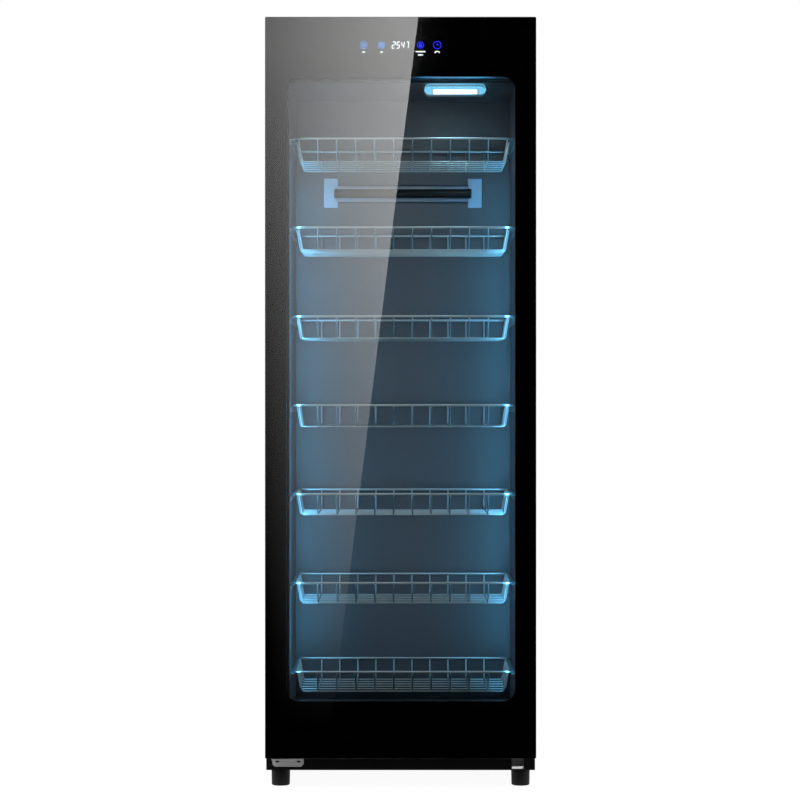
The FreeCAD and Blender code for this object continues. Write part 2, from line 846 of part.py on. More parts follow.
def back_heater():
    left = "cavity_offset - reflector_width / 2"
    right = "cavity_offset + reflector_width / 2"
    low = "heater_height - reflector_height / 2"
    high = "heater_height + reflector_height / 2"
    wall = "cavity_back"
    profile = (
        (wall, low),
        (wall, high),
        (f"{wall} - reflector_depth", f"{high} - reflector_lip"),
        (f"{wall} - reflector_depth", f"{high} - reflector_lip - heater_sheet"),
        (f"{wall} - heater_sheet", f"{high} - heater_sheet"),
        (f"{wall} - heater_sheet", f"{low} + heater_sheet"),
        (f"{wall} - reflector_depth", f"{low} + reflector_lip + heater_sheet"),
        (f"{wall} - reflector_depth", f"{low} + reflector_lip"),
    )
    reflector = new_body("heater_reflector")
    add_pad(reflector, "reflector_fold", "YZ_Plane", [profile], left, right)
    node(reflector)

    tube_start = ("cavity_offset - heater_tube_length / 2", "heater_y", "heater_height")
    node(rod("heater_tube", "heater_tube_diameter / 2", "heater_tube_length", tube_start, "x"))

    brackets = []
    for side, sign in (("left", "-1"), ("right", "1")):
        inner = f"cavity_offset + {sign} * reflector_width / 2"
        outer = f"cavity_offset + {sign} * (reflector_width / 2 + bracket_width)"
        tube_end = f"cavity_offset + {sign} * heater_tube_length / 2"
        ends = (outer, inner) if sign == "-1" else (inner, outer)
        saddle_ends = (tube_end, inner) if sign == "-1" else (inner, tube_end)
        plate = block(
            f"{side}_tab", ends, (f"{wall} - bracket_sheet", wall),
            ("heater_height - bracket_low", "heater_height + bracket_high"),
        )
        arm = block(
            f"{side}_saddle", saddle_ends, ("heater_y", f"{wall} - bracket_sheet"),
            ("heater_height - saddle_height / 2", "heater_height + saddle_height / 2"),
        )
        seat = rod(f"{side}_seat", "heater_tube_diameter / 2", "heater_tube_length", tube_start, "x")
        brackets.append(subtract(
            f"heater_bracket_{side}", join(f"{side}_bracket_blank", [plate, arm]), [seat],
        ))
    node(group("heater_brackets", brackets))


# ---------------------------------------------------------------- hot air

def floor_grille():
    body = new_body("floor_grille")
    plan = rectangle("-grille_width / 2", "grille_width / 2", "-grille_length / 2", "grille_length / 2")
    add_pad(body, "grille_plate", "XY_Plane", [plan], "0", "grille_sheet")
    first = "-grille_slot_pitch * (grille_slot_count - 1) / 2"
    slot = rectangle(
        f"{first} - grille_slot / 2", f"{first} + grille_slot / 2",
        "-grille_length / 2 + 2 * grille_margin", "grille_length / 2 - 2 * grille_margin",
    )
    cut = add_pocket(body, "grille_slot_cut", "XY_Plane", [slot], "-overshoot", "grille_sheet + overshoot")
    repeat_along(body, "grille_slots", cut, "X_Axis", "grille_slot_pitch", "grille_slot_count")
    place(body, "duct_x", "duct_y", "cavity_floor")
    node(body)


def air_heater():
    # Finned block that sits between the fan duct and the cavity floor.
    half_across = "(grille_width / 2 - grille_margin - air_heater_margin)"
    half_along = "(grille_length / 2 - grille_margin - air_heater_margin)"
    body = new_body("air_heater")
    plan = rectangle(f"-{half_across}", half_across, f"-{half_along}", half_along)
    add_pad(body, "air_heater_block", "XY_Plane", [plan], "0", "air_heater_height")
    pitch = f"2 * ({half_across} - air_heater_margin) / fin_count"
    middle = f"(-{half_across} + air_heater_margin + {pitch} / 2)"
    slot = rectangle(
        f"{middle} - fin_slot / 2", f"{middle} + fin_slot / 2",
        f"-{half_along} + 2 * air_heater_margin", f"{half_along} - 2 * air_heater_margin",
    )
    cut = add_pocket(body, "fin_cut", "XY_Plane", [slot], "-overshoot", "air_heater_height + overshoot")
    repeat_along(body, "fins", cut, "X_Axis", pitch, "fin_count")
    place(body, "duct_x", "duct_y", "duct_top")
    node(body)


def fan():
    centre = ("0", "0")
    bore_outline = regular_polygon(centre, "duct_inner_diameter", round_sides, 0)
    wall_outline = regular_polygon(centre, "duct_inner_diameter + 2 * duct_wall", round_sides, 0)
    flange_outline = regular_polygon(
        centre, "duct_inner_diameter + 2 * duct_wall + 2 * duct_flange", round_sides, 0,
    )
    motor_outline = regular_polygon(centre, "motor_diameter - 2 * motor_seat", round_sides, 0)
    duct = new_body("fan_duct")
    add_pad(duct, "duct_wall_ring", "XY_Plane", [wall_outline, bore_outline], "0", "duct_height")
    add_pad(duct, "duct_bottom", "XY_Plane", [wall_outline, motor_outline], "0", "duct_wall")
    flange_low = "duct_height - duct_wall"
    add_pad(duct, "duct_top_flange", "XY_Plane", [flange_outline, bore_outline], flange_low, "duct_height")
    window = rectangle(
        "motor_diameter / 2 + motor_seat", "duct_inner_diameter / 2 - intake_margin", "-intake_width / 2",
        "intake_width / 2",
    )
    intake = add_pocket(duct, "intake", "XY_Plane", [window], "-overshoot", "duct_wall + overshoot")
    repeat_around(duct, "intakes", intake, "intake_count")
    place(duct, "duct_x", "duct_y", "duct_bottom")
    node(duct)

    can = doc.addObject("Part::Prism", "motor_can")
    can.Polygon = round_sides
    bind(can, "Circumradius", "motor_diameter / 2")
    bind(can, "Height", "motor_height")
    place(can, "duct_x", "duct_y", "duct_bottom - motor_height")
    shaft = rod(
        "motor_shaft", "shaft_diameter / 2", "duct_wall + wheel_lift + wheel_height + overshoot",
        ("duct_x", "duct_y", "duct_bottom - overshoot"),
    )
    node(join("fan_motor", [can, shaft]))

    wheel = new_body("fan_wheel")
    add_revolution(wheel, "wheel_hub", (
        ("shaft_diameter / 2 + pin_clearance", "0"),
        ("hub_diameter / 2", "0"),
        ("hub_diameter / 2", "wheel_height - wheel_plate"),
        ("shaft_diameter / 2 + pin_clearance", "wheel_height - wheel_plate"),
    ))
    plate_outline = regular_polygon(centre, "wheel_diameter", round_sides, 0)
    plate_hole = regular_polygon(centre, "hub_diameter - 2 * wheel_plate", coarse_sides, 0)
    add_pad(wheel, "wheel_disc", "XY_Plane", [plate_outline, plate_hole], "0", "wheel_plate")
    blade_outline = rectangle(
        "wheel_diameter / 2 - blade_length - blade_edge", "wheel_diameter / 2 - blade_edge",
        "-blade_thickness / 2", "blade_thickness / 2",
    )
    blade = add_pad(wheel, "blade", "XY_Plane", [blade_outline], "wheel_plate", "wheel_height")
    repeat_around(wheel, "blades", blade, "blade_count")
    place(wheel, "duct_x", "duct_y", "wheel_bottom")
    node(wheel)


# ---------------------------------------------------------------- electrical pieces in the base

def power_board():
    left = "-half_width + board_side_inset"
    right = f"{left} + board_width"
    rear = "shell_back - board_rear_inset"
    front = f"{rear} - board_length"
    deck = "base_floor + standoff"
    pieces = [block("board", (left, right), (front, rear), (deck, f"{deck} + circuit_board"))]
    for across in (left, f"{right} - standoff"):
        for back in (front, f"{rear} - standoff"):
            name = f"standoff_{len(pieces)}"
            foot = ((across, f"{across} + standoff"), (back, f"{back} + standoff"))
            pieces.append(block(name, *foot, ("base_floor", deck)))
    top = f"{deck} + circuit_board"
    pieces.append(block(
        "board_transformer", (f"{left} + standoff", f"{left} + standoff + transformer"),
        (f"{front} + standoff", f"{front} + standoff + transformer"), (top, f"{top} + transformer"),
    ))
    pieces.append(block(
        "board_relay", (f"{right} - standoff - transformer", f"{right} - standoff"),
        (f"{rear} - standoff - transformer / 2", f"{rear} - standoff"), (top, f"{top} + transformer / 2"),
    ))
    node(join("power_board", pieces))


def lamp_ballast():
    right = "half_width - board_side_inset"
    left = f"{right} - ballast_width"
    rear = "shell_back - board_rear_inset"
    front = f"{rear} - ballast_length"
    case = block("ballast_case", (left, right), (front, rear), ("base_floor", "base_floor + ballast_height"))
    ears = block(
        "ballast_ears", (f"{left} + ballast_ear", f"{right} - ballast_ear"),
        (f"{front} - ballast_ear", f"{rear} + ballast_ear"), ("base_floor", "base_floor + steel"),
    )
    node(join("lamp_ballast", [case, ears]))


def ozone_generator():
    left = "-half_width + board_side_inset"
    front = "body_front + board_side_inset"
    case = block(
        "ozone_case", (left, f"{left} + ozone_width"), (front, f"{front} + ozone_length"),
        ("base_floor", "base_floor + ozone_height"),
    )
    nozzle = doc.addObject("Part::Prism", "ozone_nozzle")
    nozzle.Polygon = coarse_sides
    bind(nozzle, "Circumradius", "nozzle_diameter / 2")
    bind(nozzle, "Height", "nozzle_length")
    place(nozzle, f"{left} + ozone_width / 2", f"{front} + ozone_length / 2", "base_floor + ozone_height")
    node(join("ozone_generator", [case, nozzle]))


def power_inlet():
    socket = block(
        "inlet_socket", ("inlet_x - inlet_width / 2", "inlet_x + inlet_width / 2"),
        ("shell_back - inlet_depth", "shell_back"),
        ("inlet_z - inlet_height / 2", "inlet_z + inlet_height / 2"),
    )
    flange = block(
        "inlet_flange_plate",
        ("inlet_x - inlet_width / 2 - inlet_flange", "inlet_x + inlet_width / 2 + inlet_flange"),
        ("shell_back", "shell_back + duct_wall"),
        ("inlet_z - inlet_height / 2 - inlet_flange", "inlet_z + inlet_height / 2 + inlet_flange"),
    )
    recess = block(
        "inlet_recess", ("inlet_x - inlet_width / 2 + inlet_wall", "inlet_x + inlet_width / 2 - inlet_wall"),
        ("shell_back - inlet_depth + inlet_back_wall", "shell_back + 2 * duct_wall"),
        ("inlet_z - inlet_height / 2 + inlet_wall", "inlet_z + inlet_height / 2 - inlet_wall"),
    )
    contacts = []
    for steps, lift in (("-1", "-inlet_contact"), ("0", "inlet_contact"), ("1", "-inlet_contact")):
        across = f"inlet_x + {steps} * inlet_contact_pitch"
        up = f"inlet_z + ({lift})"
        contacts.append(block(
            f"inlet_contact_{len(contacts) + 1}",
            (f"{across} - inlet_contact / 2", f"{across} + inlet_contact / 2"),
            ("shell_back - inlet_depth + inlet_back_wall - overshoot", "shell_back - inlet_contact_recess"),
            (f"{up} - inlet_contact", f"{up} + inlet_contact"),
        ))
    shell = subtract("inlet_shell", join("inlet_blank", [socket, flange]), [recess])
    node(join("power_inlet", [shell] + contacts))


def door_switch():
    across = ("switch_side - switch_length / 2", "switch_side + switch_length / 2")
    height = ("body_bottom + switch_lift", "body_bottom + switch_lift + switch_height")
    wall = "body_front + steel"
    node(block("door_switch", across, (wall, f"{wall} + switch_depth"), height))
    inside = "door_back - profile_wall"
    node(block("door_magnet", across, (f"{inside} - switch_depth", inside), height))


# ---------------------------------------------------------------- feet

def feet():
    across = {"left": "-half_width + foot_side_inset", "right": "half_width - foot_side_inset"}
    back = {"front": "body_front + foot_front_inset", "rear": "shell_back - foot_rear_inset"}
    four = []
    for end, foot_y in back.items():
        for side, foot_x in across.items():
            foot = new_body(f"foot_{end}_{side}")
            add_revolution(foot, f"foot_{end}_{side}_turned", (
                ("0", "0"),
                ("foot_bottom_diameter / 2 - foot_edge", "0"),
                ("foot_bottom_diameter / 2", "foot_edge"),
                ("foot_top_diameter / 2", "foot_height"),
                ("0", "foot_height"),
            ))
            place(foot, foot_x, foot_y, "0")
            four.append(foot)
    node(group("feet", four))


# ---------------------------------------------------------------- hinges and catch

def lower_hinge_bracket():
    body = new_body("lower_hinge_bracket")
    profile = (
        ("leaf_front", "leaf_bottom"),
        ("body_front - hinge_plate", "leaf_bottom"),
        ("body_front - hinge_plate", "leaf_top - hinge_flange"),
        ("body_front", "leaf_top - hinge_flange"),
        ("body_front", "leaf_top"),
        ("leaf_front", "leaf_top"),
    )
    add_pad(body, "lower_leaf", "YZ_Plane", [profile], "leaf_left", "leaf_left + hinge_length")
    pin_hole = regular_polygon(("hinge_x", "hinge_y"), "pin_hole_diameter", hole_sides, 0)
    add_pocket(
        body, "lower_pin_hole", "XY_Plane", [pin_hole], "leaf_bottom - overshoot", "leaf_top + overshoot",
    )
    corners = []
    for start, inward in (("leaf_left", "1"), ("leaf_left + hinge_length", "-1")):
        corners.append((
            (f"{start} - {inward} * overshoot", "leaf_top - hinge_flange - overshoot"),
            (f"{start} + {inward} * hinge_chamfer", "leaf_top - hinge_flange - overshoot"),
            (f"{start} + {inward} * hinge_chamfer", "leaf_top - hinge_flange"),
            (start, "leaf_top - hinge_flange + hinge_chamfer"),
            (f"{start} - {inward} * overshoot", "leaf_top - hinge_flange + hinge_chamfer"),
        ))
    flange = ("body_front - hinge_plate - overshoot", "body_front + overshoot")
    add_pocket(body, "lower_flange_corners", "XZ_Plane", corners, *flange)
    node(body)


def upper_hinge_bracket():
    # Flat leaf whose left side keeps out of the way of the door's swinging edge.
    body = new_body("upper_hinge_bracket")
    rear = "body_front + upper_hinge_reach"
    eye_front = "hinge_y - hinge_leaf_edge"
    plan = (
        ("leaf_left + hinge_eye_chamfer", eye_front),
        ("hinge_x + hinge_leaf_edge", eye_front),
        ("leaf_left + hinge_length", "body_front"),
        ("leaf_left + hinge_length", rear),
        ("leaf_left", rear),
        ("leaf_left", "body_front"),
        ("hinge_x", "hinge_y + hinge_swing"),
        ("hinge_x", "hinge_y + hinge_inset"),
        ("leaf_left", "hinge_y"),
        ("leaf_left", f"{eye_front} + hinge_eye_chamfer"),
    )
    add_pad(body, "upper_leaf", "XY_Plane", [plan], "body_top", "body_top + hinge_plate")
    pin_hole = regular_polygon(("hinge_x", "hinge_y"), "pin_hole_diameter", hole_sides, 0)
    span = ("body_top - overshoot", "body_top + hinge_plate + overshoot")
    add_pocket(body, "upper_pin_hole", "XY_Plane", [pin_hole], *span)
    node(body)


def hinge_pins():
    lower = rod(
        "lower_pin", "pin_radius", "hinge_plate + hinge_leaf_drop + frame_inset + pin_engagement",
        ("hinge_x", "hinge_y", "leaf_bottom"),
    )
    upper = rod(
        "upper_pin", "pin_radius", "body_top + hinge_plate - frame_top + pin_engagement",
        ("hinge_x", "hinge_y", "frame_top - pin_engagement"),
    )
    node(group("hinge_pins", [lower, upper]))


def hinge_bushes():
    chamber_left = "-frame_side + profile_wall"
    chamber_right = "-window_side - groove_depth - profile_wall"
    plug_depth = ("frame_front + profile_wall", "door_back - profile_wall")
    bushes = []
    bore_reach = "pin_engagement + pin_end_room"
    for end, collar_span, plug_span, bore_span in (
        (
            "lower", ("leaf_top + running_gap", "frame_bottom"),
            ("frame_bottom", "frame_bottom + bush_plug"),
            ("leaf_top", f"frame_bottom + {bore_reach}"),
        ),
        (
            "upper", ("frame_top", "body_top - running_gap"), ("frame_top - bush_plug", "frame_top"),
            (f"frame_top - ({bore_reach})", "body_top"),
        ),
    ):
        plug = block(f"{end}_plug", (chamber_left, chamber_right), plug_depth, plug_span)
        collar = rod(
            f"{end}_collar", "bush_collar / 2", f"({collar_span[1]}) - ({collar_span[0]})",
            ("hinge_x", "hinge_y", collar_span[0]),
        )
        bore = rod(
            f"{end}_bore", "pin_hole_diameter / 2", f"({bore_span[1]}) - ({bore_span[0]})",
            ("hinge_x", "hinge_y", bore_span[0]),
        )
        bushes.append(subtract(f"{end}_bush", join(f"{end}_bush_blank", [plug, collar]), [bore]))
    node(group("hinge_bushes", bushes))


def hinge_screws():
    middle = "leaf_left + hinge_length / 2"
    heads = []
    for sign in ("-1", "1"):
        across = f"{middle} + {sign} * hinge_screw_spacing / 2"
        flange_start = (
            across, "body_front - hinge_plate - screw_head",
            "leaf_bottom - screw_across_flats / 2 - hinge_screw_edge",
        )
        heads.append(hexagon_head(
            f"flange_screw_{len(heads)}", "screw_across_flats", "screw_head", flange_start, "y",
        ))
        plate_start = (across, "body_front + upper_hinge_reach / 2", "body_top + hinge_plate")
        heads.append(hexagon_head(
            f"plate_screw_{len(heads)}", "screw_across_flats", "screw_head", plate_start, "z",
        ))
    node(group("hinge_screws", heads))


def plinth_catch():
    # Folded bracket on the plinth, with a cheek on one side and a nylon bar on its lip.
    body = new_body("catch_bracket")
    front = "body_front - catch_lip"
    profile = (
        (front, "catch_bottom"),
        ("body_front", "catch_bottom"),
        ("body_front", "catch_bottom + catch_height"),
        ("body_front - catch_sheet", "catch_bottom + catch_height"),
        ("body_front - catch_sheet", "catch_bottom + catch_sheet"),
        (front, "catch_bottom + catch_sheet"),
    )
    add_pad(body, "catch_fold", "YZ_Plane", [profile], "catch_left", "catch_right")
    cheek = (
        (f"{front} + catch_bar_depth", "catch_bottom + catch_sheet"),
        ("body_front - catch_sheet", "catch_bottom + catch_sheet"),
        ("body_front - catch_sheet", "catch_bottom + catch_height"),
    )
    add_pad(body, "catch_cheek", "YZ_Plane", [cheek], "catch_right - catch_sheet", "catch_right")
    node(body)
    bar = new_body("catch_bar")
    low = "catch_bottom + catch_sheet"
    outline = (
        ("catch_left", low),
        ("catch_right - catch_sheet - catch_bar_chamfer", low),
        ("catch_right - catch_sheet", f"{low} + catch_bar_chamfer"),
        ("catch_right - catch_sheet", f"{low} + catch_bar_height"),
        ("catch_left", f"{low} + catch_bar_height"),
    )
    add_pad(bar, "catch_bar_outline", "XZ_Plane", [outline], front, f"{front} + catch_bar_depth")
    node(bar)


# ---------------------------------------------------------------- door

def door_glass():
    node(block(
        "door_glass", ("-half_width", "half_width"), ("door_front", "door_front + glass"),
        ("door_bottom", "cabinet_height"),
    ))
    border = new_body("glass_border")
    outline = rectangle("-half_width", "half_width", "door_bottom", "cabinet_height")
    span = ("door_front + glass", "frame_front")
    add_pad(border, "border_sheet", "XZ_Plane", [outline], *span)
    window = rectangle("-window_side", "window_side", "window_bottom", "window_top")
    opening = add_pocket(
        border, "border_window", "XZ_Plane", [window], "door_front", "frame_front + overshoot",
    )
    doc.recompute()

    def at_window_corner(edge):
        middle = edge.CenterOfMass
        return runs_along(edge, FreeCAD.Vector(0, 1, 0)) and abs(abs(middle.x) - value("window_side")) < 0.01

    rounding = border.newObject("PartDesign::Fillet", "border_corners")
    rounding.Base = (opening, edge_names(opening.Shape, at_window_corner))
    bind(rounding, "Radius", "window_radius")
    border.Tip = rounding
    node(border)


def stile(name, sign, grip):
    # Extruded upright: a hollow chamber, a groove for the inner pane, a finger groove on the opening side.
    outer = f"{sign} * frame_side"
    inner = f"{sign} * window_side"
    floor = f"{sign} * (window_side + groove_depth)"
    profile = [
        (outer, "frame_front"),
        (inner, "frame_front"),
        (inner, "groove_front"),
        (floor, "groove_front"),
        (floor, "groove_back"),
        (inner, "groove_back"),
        (inner, "door_back"),
        (outer, "door_back"),
    ]
    chamber_outer = f"{sign} * (frame_side - profile_wall)"
    if grip:
        grip_front = "frame_front + grip_front_wall"
        grip_floor = f"{sign} * (frame_side - grip_depth)"
        profile += [
            (outer, f"{grip_front} + grip_width"),
            (grip_floor, f"{grip_front} + grip_width"),
            (grip_floor, grip_front),
            (outer, grip_front),
        ]
        chamber_outer = f"{sign} * (frame_side - grip_depth - profile_wall)"
    chamber_inner = f"{sign} * (window_side + groove_depth + profile_wall)"
    chamber = rectangle(
        chamber_outer, chamber_inner, "frame_front + profile_wall", "door_back - profile_wall",
    )
    body = new_body(name)
    add_pad(body, name + "_profile", "XY_Plane", [profile, chamber], "frame_bottom", "frame_top")
    node(body)


def rail(name, edge, outer, sign):
    # Hollow cross member between the stiles; its groove holds the inner pane's edge.
    floor = f"{edge} + {sign} * groove_depth"
    profile = (
        ("frame_front", outer),
        ("frame_front", edge),
        ("groove_front", edge),
        ("groove_front", floor),
        ("groove_back", floor),
        ("groove_back", edge),
        ("door_back", edge),
        ("door_back", outer),
    )
    near = f"{edge} + {sign} * (groove_depth + profile_wall)"
    far = f"{outer} - {sign} * profile_wall"
    chamber = rectangle("frame_front + profile_wall", "door_back - profile_wall", near, far)
    body = new_body(name)
    add_pad(body, name + "_profile", "YZ_Plane", [profile, chamber], "-window_side", "window_side")
    return body


def door_frame():
    stile("door_stile_left", "-1", grip=False)
    stile("door_stile_right", "1", grip=True)
    top = rail("door_rail_top", "window_top", "frame_top", "1")
    touch_hole = rectangle(
        "-touch_board_width / 2 - touch_margin", "touch_board_width / 2 + touch_margin",
        "touch_height - touch_board_height / 2", "touch_height + touch_board_height / 2",
    )
    wall = ("frame_front - overshoot", "frame_front + profile_wall + overshoot")
    add_pocket(top, "touch_hole", "XZ_Plane", [touch_hole], *wall)
    node(top)
    node(rail("door_rail_bottom", "window_bottom", "frame_bottom", "-1"))
    slack = "(groove_width - glass) / 2"
    edge = "(window_side + groove_depth - pane_play)"
    node(block(
        "inner_glass", (f"-{edge}", edge), (f"groove_front + {slack}", f"groove_back - {slack}"),
        ("window_bottom - groove_depth", "window_top + groove_depth - pane_play"),
    ))


def door_seal():
    # Magnetic seal: foot on the door, soft neck, head towards the cabinet.
    middle = "seal_x"
    section = (
        (f"-({middle}) - seal_width / 2", "door_back"),
        (f"-({middle}) + seal_width / 2", "door_back"),
        (f"-({middle}) + seal_width / 2", "door_back + seal_layer"),
        (f"-({middle}) + seal_neck / 2", "door_back + seal_layer"),
        (f"-({middle}) + seal_neck / 2", "door_back + seal_depth - seal_layer"),
        (f"-({middle}) + seal_width / 2", "door_back + seal_depth - seal_layer"),
        (f"-({middle}) + seal_width / 2", "door_back + seal_depth"),
        (f"-({middle}) - seal_width / 2", "door_back + seal_depth"),
        (f"-({middle}) - seal_width / 2", "door_back + seal_depth - seal_layer"),
        (f"-({middle}) - seal_neck / 2", "door_back + seal_depth - seal_layer"),
        (f"-({middle}) - seal_neck / 2", "door_back + seal_layer"),
        (f"-({middle}) - seal_width / 2", "door_back + seal_layer"),
    )
    halfway = "(seal_low + seal_high) / 2"
    path = (
        (f"-({middle})", halfway),
        (f"-({middle})", "seal_low"),
        (middle, "seal_low"),
        (middle, "seal_high"),
        (f"-({middle})", "seal_high"),
    )
    body = new_body("door_gasket")
    add_pipe(body, "gasket_run", "XZ_Plane", path, True, "XY_Plane", halfway, section)
    node(body)


def touch_panel():
    board_back = "frame_front + circuit_board"
    node(block(
        "touch_board", ("-touch_board_width / 2", "touch_board_width / 2"), ("frame_front", board_back),
        ("touch_height - touch_board_height / 2", "touch_height + touch_board_height / 2"),
    ))
    node(block(
        "display_module", ("-display_width / 2", "display_width / 2"),
        (board_back, f"{board_back} + display_depth"),
        ("touch_height - display_height / 2", "touch_height + display_height / 2"),
    ))


# ---------------------------------------------------------------- the whole cabinet

side_panel("left_side_panel", "-1")
side_panel("right_side_panel", "1")
door_jamb("left_door_jamb", ("-half_width + steel", "liner_left_face"))
door_jamb("right_door_jamb", ("liner_right_face", "half_width - steel"))
top_panel()
base_pan()
back_panel()
insulation_blanket()
panel_screws()
liner_sheets()
basket_rails("left_rails", "-1", "cavity_left")
basket_rails("right_rails", "1", "cavity_right")
baskets()
lamp()
back_heater()
floor_grille()
air_heater()
fan()
power_board()
lamp_ballast()
ozone_generator()
power_inlet()
door_switch()
feet()
lower_hinge_bracket()
upper_hinge_bracket()
hinge_pins()
hinge_bushes()
hinge_screws()
plinth_catch()
door_glass()
door_frame()
door_seal()
touch_panel()

doc.recompute()

# ---------------------------------------------------------------- check and export

faults = [
    f"{item.Label}: {item.State}"
    for item in doc.Objects
    if "Invalid" in item.State or "Error" in item.State
]
for item in nodes:
    if item.Shape.isNull() or not item.Shape.isValid() or not item.Shape.Solids:
        faults.append(f"{item.Label}: no valid solid")
if faults:
    raise RuntimeError("; ".join(faults))

os.makedirs("parts", exist_ok=True)
for item in nodes:
    item.Shape.exportStep(f"parts/{item.Label}.step")
print(f"{len(nodes)} nodes, {sum(len(item.Shape.Solids) for item in nodes)} solids")
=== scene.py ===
import math
import bpy
import bmesh
from mathutils import Matrix, Vector


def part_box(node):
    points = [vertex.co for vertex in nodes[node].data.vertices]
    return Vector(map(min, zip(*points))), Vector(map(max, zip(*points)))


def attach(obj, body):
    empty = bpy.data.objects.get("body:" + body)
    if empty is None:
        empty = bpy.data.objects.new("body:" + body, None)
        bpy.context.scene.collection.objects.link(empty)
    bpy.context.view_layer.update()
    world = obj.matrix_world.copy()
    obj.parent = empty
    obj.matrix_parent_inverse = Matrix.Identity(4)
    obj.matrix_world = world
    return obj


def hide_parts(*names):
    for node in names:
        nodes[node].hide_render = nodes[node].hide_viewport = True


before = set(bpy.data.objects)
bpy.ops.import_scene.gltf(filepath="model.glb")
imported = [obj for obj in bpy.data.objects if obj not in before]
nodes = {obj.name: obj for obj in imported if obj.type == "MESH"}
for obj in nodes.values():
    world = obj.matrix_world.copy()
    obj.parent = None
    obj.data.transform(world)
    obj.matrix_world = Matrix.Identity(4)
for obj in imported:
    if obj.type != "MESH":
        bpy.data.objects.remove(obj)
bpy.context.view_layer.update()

mm = 0.001
print("frame loaded:", len(nodes), "nodes")


# camera, at the door's middle height and 5.4 m in front of the door
view = {
    "distance": 5.4,
    "doorFront": -0.215,
    "height": 0.806,
    "across": -0.0013,
    "pixel": 2.064 * mm,  # one 800th of the frame's width, at the door's front
    "frame": 800,
    "farEnd": 60,
}
cameraData = bpy.data.cameras.new("camera")
cameraData.angle = 2 * math.atan(view["frame"] / 2 * view["pixel"] / view["distance"])
cameraData.clip_end = view["farEnd"]
camera = bpy.data.objects.new("camera", cameraData)
camera.location = (view["across"], view["doorFront"] - view["distance"], view["height"])
camera.rotation_euler = (math.radians(90), 0, 0)
bpy.context.scene.collection.objects.link(camera)
bpy.context.scene.camera = camera
bpy.context.scene.view_settings.view_transform = "Standard"


# small helpers

class Link:
    # one output socket of a node tree; arithmetic on it adds Math nodes, make adds any other node
    def __init__(self, tree, socket=None):
        self.tree = tree
        self.socket = socket

    def make(self, kind, settings=None, values=None, output=0):
        made = self.tree.nodes.new(kind)
        for name, value in (settings or {}).items():
            setattr(made, name, value)
        for name, value in (values or {}).items():
            for item in value if isinstance(value, list) else [value]:
                if isinstance(item, Link):
                    self.tree.links.new(item.socket, made.inputs[name])
                else:
                    made.inputs[name].default_value = item
        return Link(self.tree, made.outputs[output])

    def calc(self, operation, first, second):
        return self.make("ShaderNodeMath", {"operation": operation}, {0: first, 1: second})

    def __add__(self, other):
        return self.calc("ADD", self, other)

    def __sub__(self, other):
        return self.calc("SUBTRACT", self, other)

    def __rsub__(self, other):
        return self.calc("SUBTRACT", other, self)

    def __mul__(self, other):
        return self.calc("MULTIPLY", self, other)

    def __truediv__(self, other):
        return self.calc("DIVIDE", self, other)

    def __pow__(self, other):
        return self.calc("POWER", self, other)

    __radd__ = __add__
    __rmul__ = __mul__


def noise(start, scale, detail, stretch=None):
    # a noise that stays on the piece; the stretch draws it out along an axis
    spot = start.make("ShaderNodeTexCoord", output="Object")
    if stretch:
        spot = spot.make("ShaderNodeVectorMath", {"operation": "MULTIPLY"}, {0: spot, 1: stretch})
    return spot.make("ShaderNodeTexNoise", values={"Vector": spot, "Scale": scale, "Detail": detail}, output="Fac")


def placeAlong(start, axis):
    # where on the piece, along one axis
    spot = start.make("ShaderNodeTexCoord", output="Object")
    return start.make("ShaderNodeSeparateXYZ", values={0: spot}, output=axis)


def between(factor, first, second):
    # the first colour where the factor is 0, the second where it is 1
    return factor.make(
        "ShaderNodeMix", {"data_type": "RGBA"}, {0: factor, 6: (*first, 1), 7: (*second, 1)}, output=2,
    )


def relief(height, strength, distance):
    return height.make("ShaderNodeBump", values={"Strength": strength, "Distance": distance, "Height": height})


def surface(name, fixed, vary):
    # fixed is the same all over the piece, vary returns what changes over it
    material = bpy.data.materials.new(name)
    material.use_nodes = True
    tree = material.node_tree
    shader = tree.nodes["Principled BSDF"]
    for socket, value in fixed.items():
        shader.inputs[socket].default_value = value
    for socket, link in vary(Link(tree)).items():
        tree.links.new(link.socket, shader.inputs[socket])
    return material


def shade(colour, factor):
    return tuple(channel * factor for channel in colour)


def spreadAround(factor, colour, spread):
    return between(factor, shade(colour, 1 - spread), shade(colour, 1 + spread))


paint = {"toneScale": 14, "glossScale": 35, "glossSwing": 0.12, "bump": 0.35}


def skin(start, rough, grain, depth):
    # a coat's uneven gloss and its fine grain
    swing = paint["glossSwing"]
    return {
        "Roughness": rough - swing / 2 + swing * noise(start, paint["glossScale"], 5),
        "Normal": relief(noise(start, grain, 2), paint["bump"], depth),
    }


def coat(name, colour, rough, grain=700, depth=0.12 * mm, spread=0.25, **fixed):
    # paint, enamel or moulded plastic, slightly uneven in its tone by the spread
    def vary(start):
        tone = noise(start, paint["toneScale"], 4)
        return {"Base Color": spreadAround(tone, colour, spread), **skin(start, rough, grain, depth)}
    return surface(name, fixed, vary)


sheet = {"lineScale": 260, "glossSwing": 0.16, "bump": 0.18, "depth": 0.05 * mm}


def metal(name, colour, rough, stretch, spread=0.12, **fixed):
    # sheet or drawn metal; its fine lines run along the axis with the small stretch
    def vary(start):
        lines = noise(start, sheet["lineScale"], 3, stretch)
        return {
            "Base Color": spreadAround(lines, colour, spread),
            "Roughness": rough - sheet["glossSwing"] / 2 + sheet["glossSwing"] * lines,
            "Normal": relief(lines, sheet["bump"], sheet["depth"]),
        }
    return surface(name, {"Metallic": 1.0, **fixed}, vary)


wiped = {"scale": 6, "rough": 0.004}


def clear(name, tint, ior):
    # sheet glass with the faintest wiping marks
    def vary(start):
        return {"Roughness": wiped["rough"] * noise(start, wiped["scale"], 4)}
    return surface(name, {"Base Color": (*tint, 1), "Transmission Weight": 1.0, "IOR": ior}, vary)


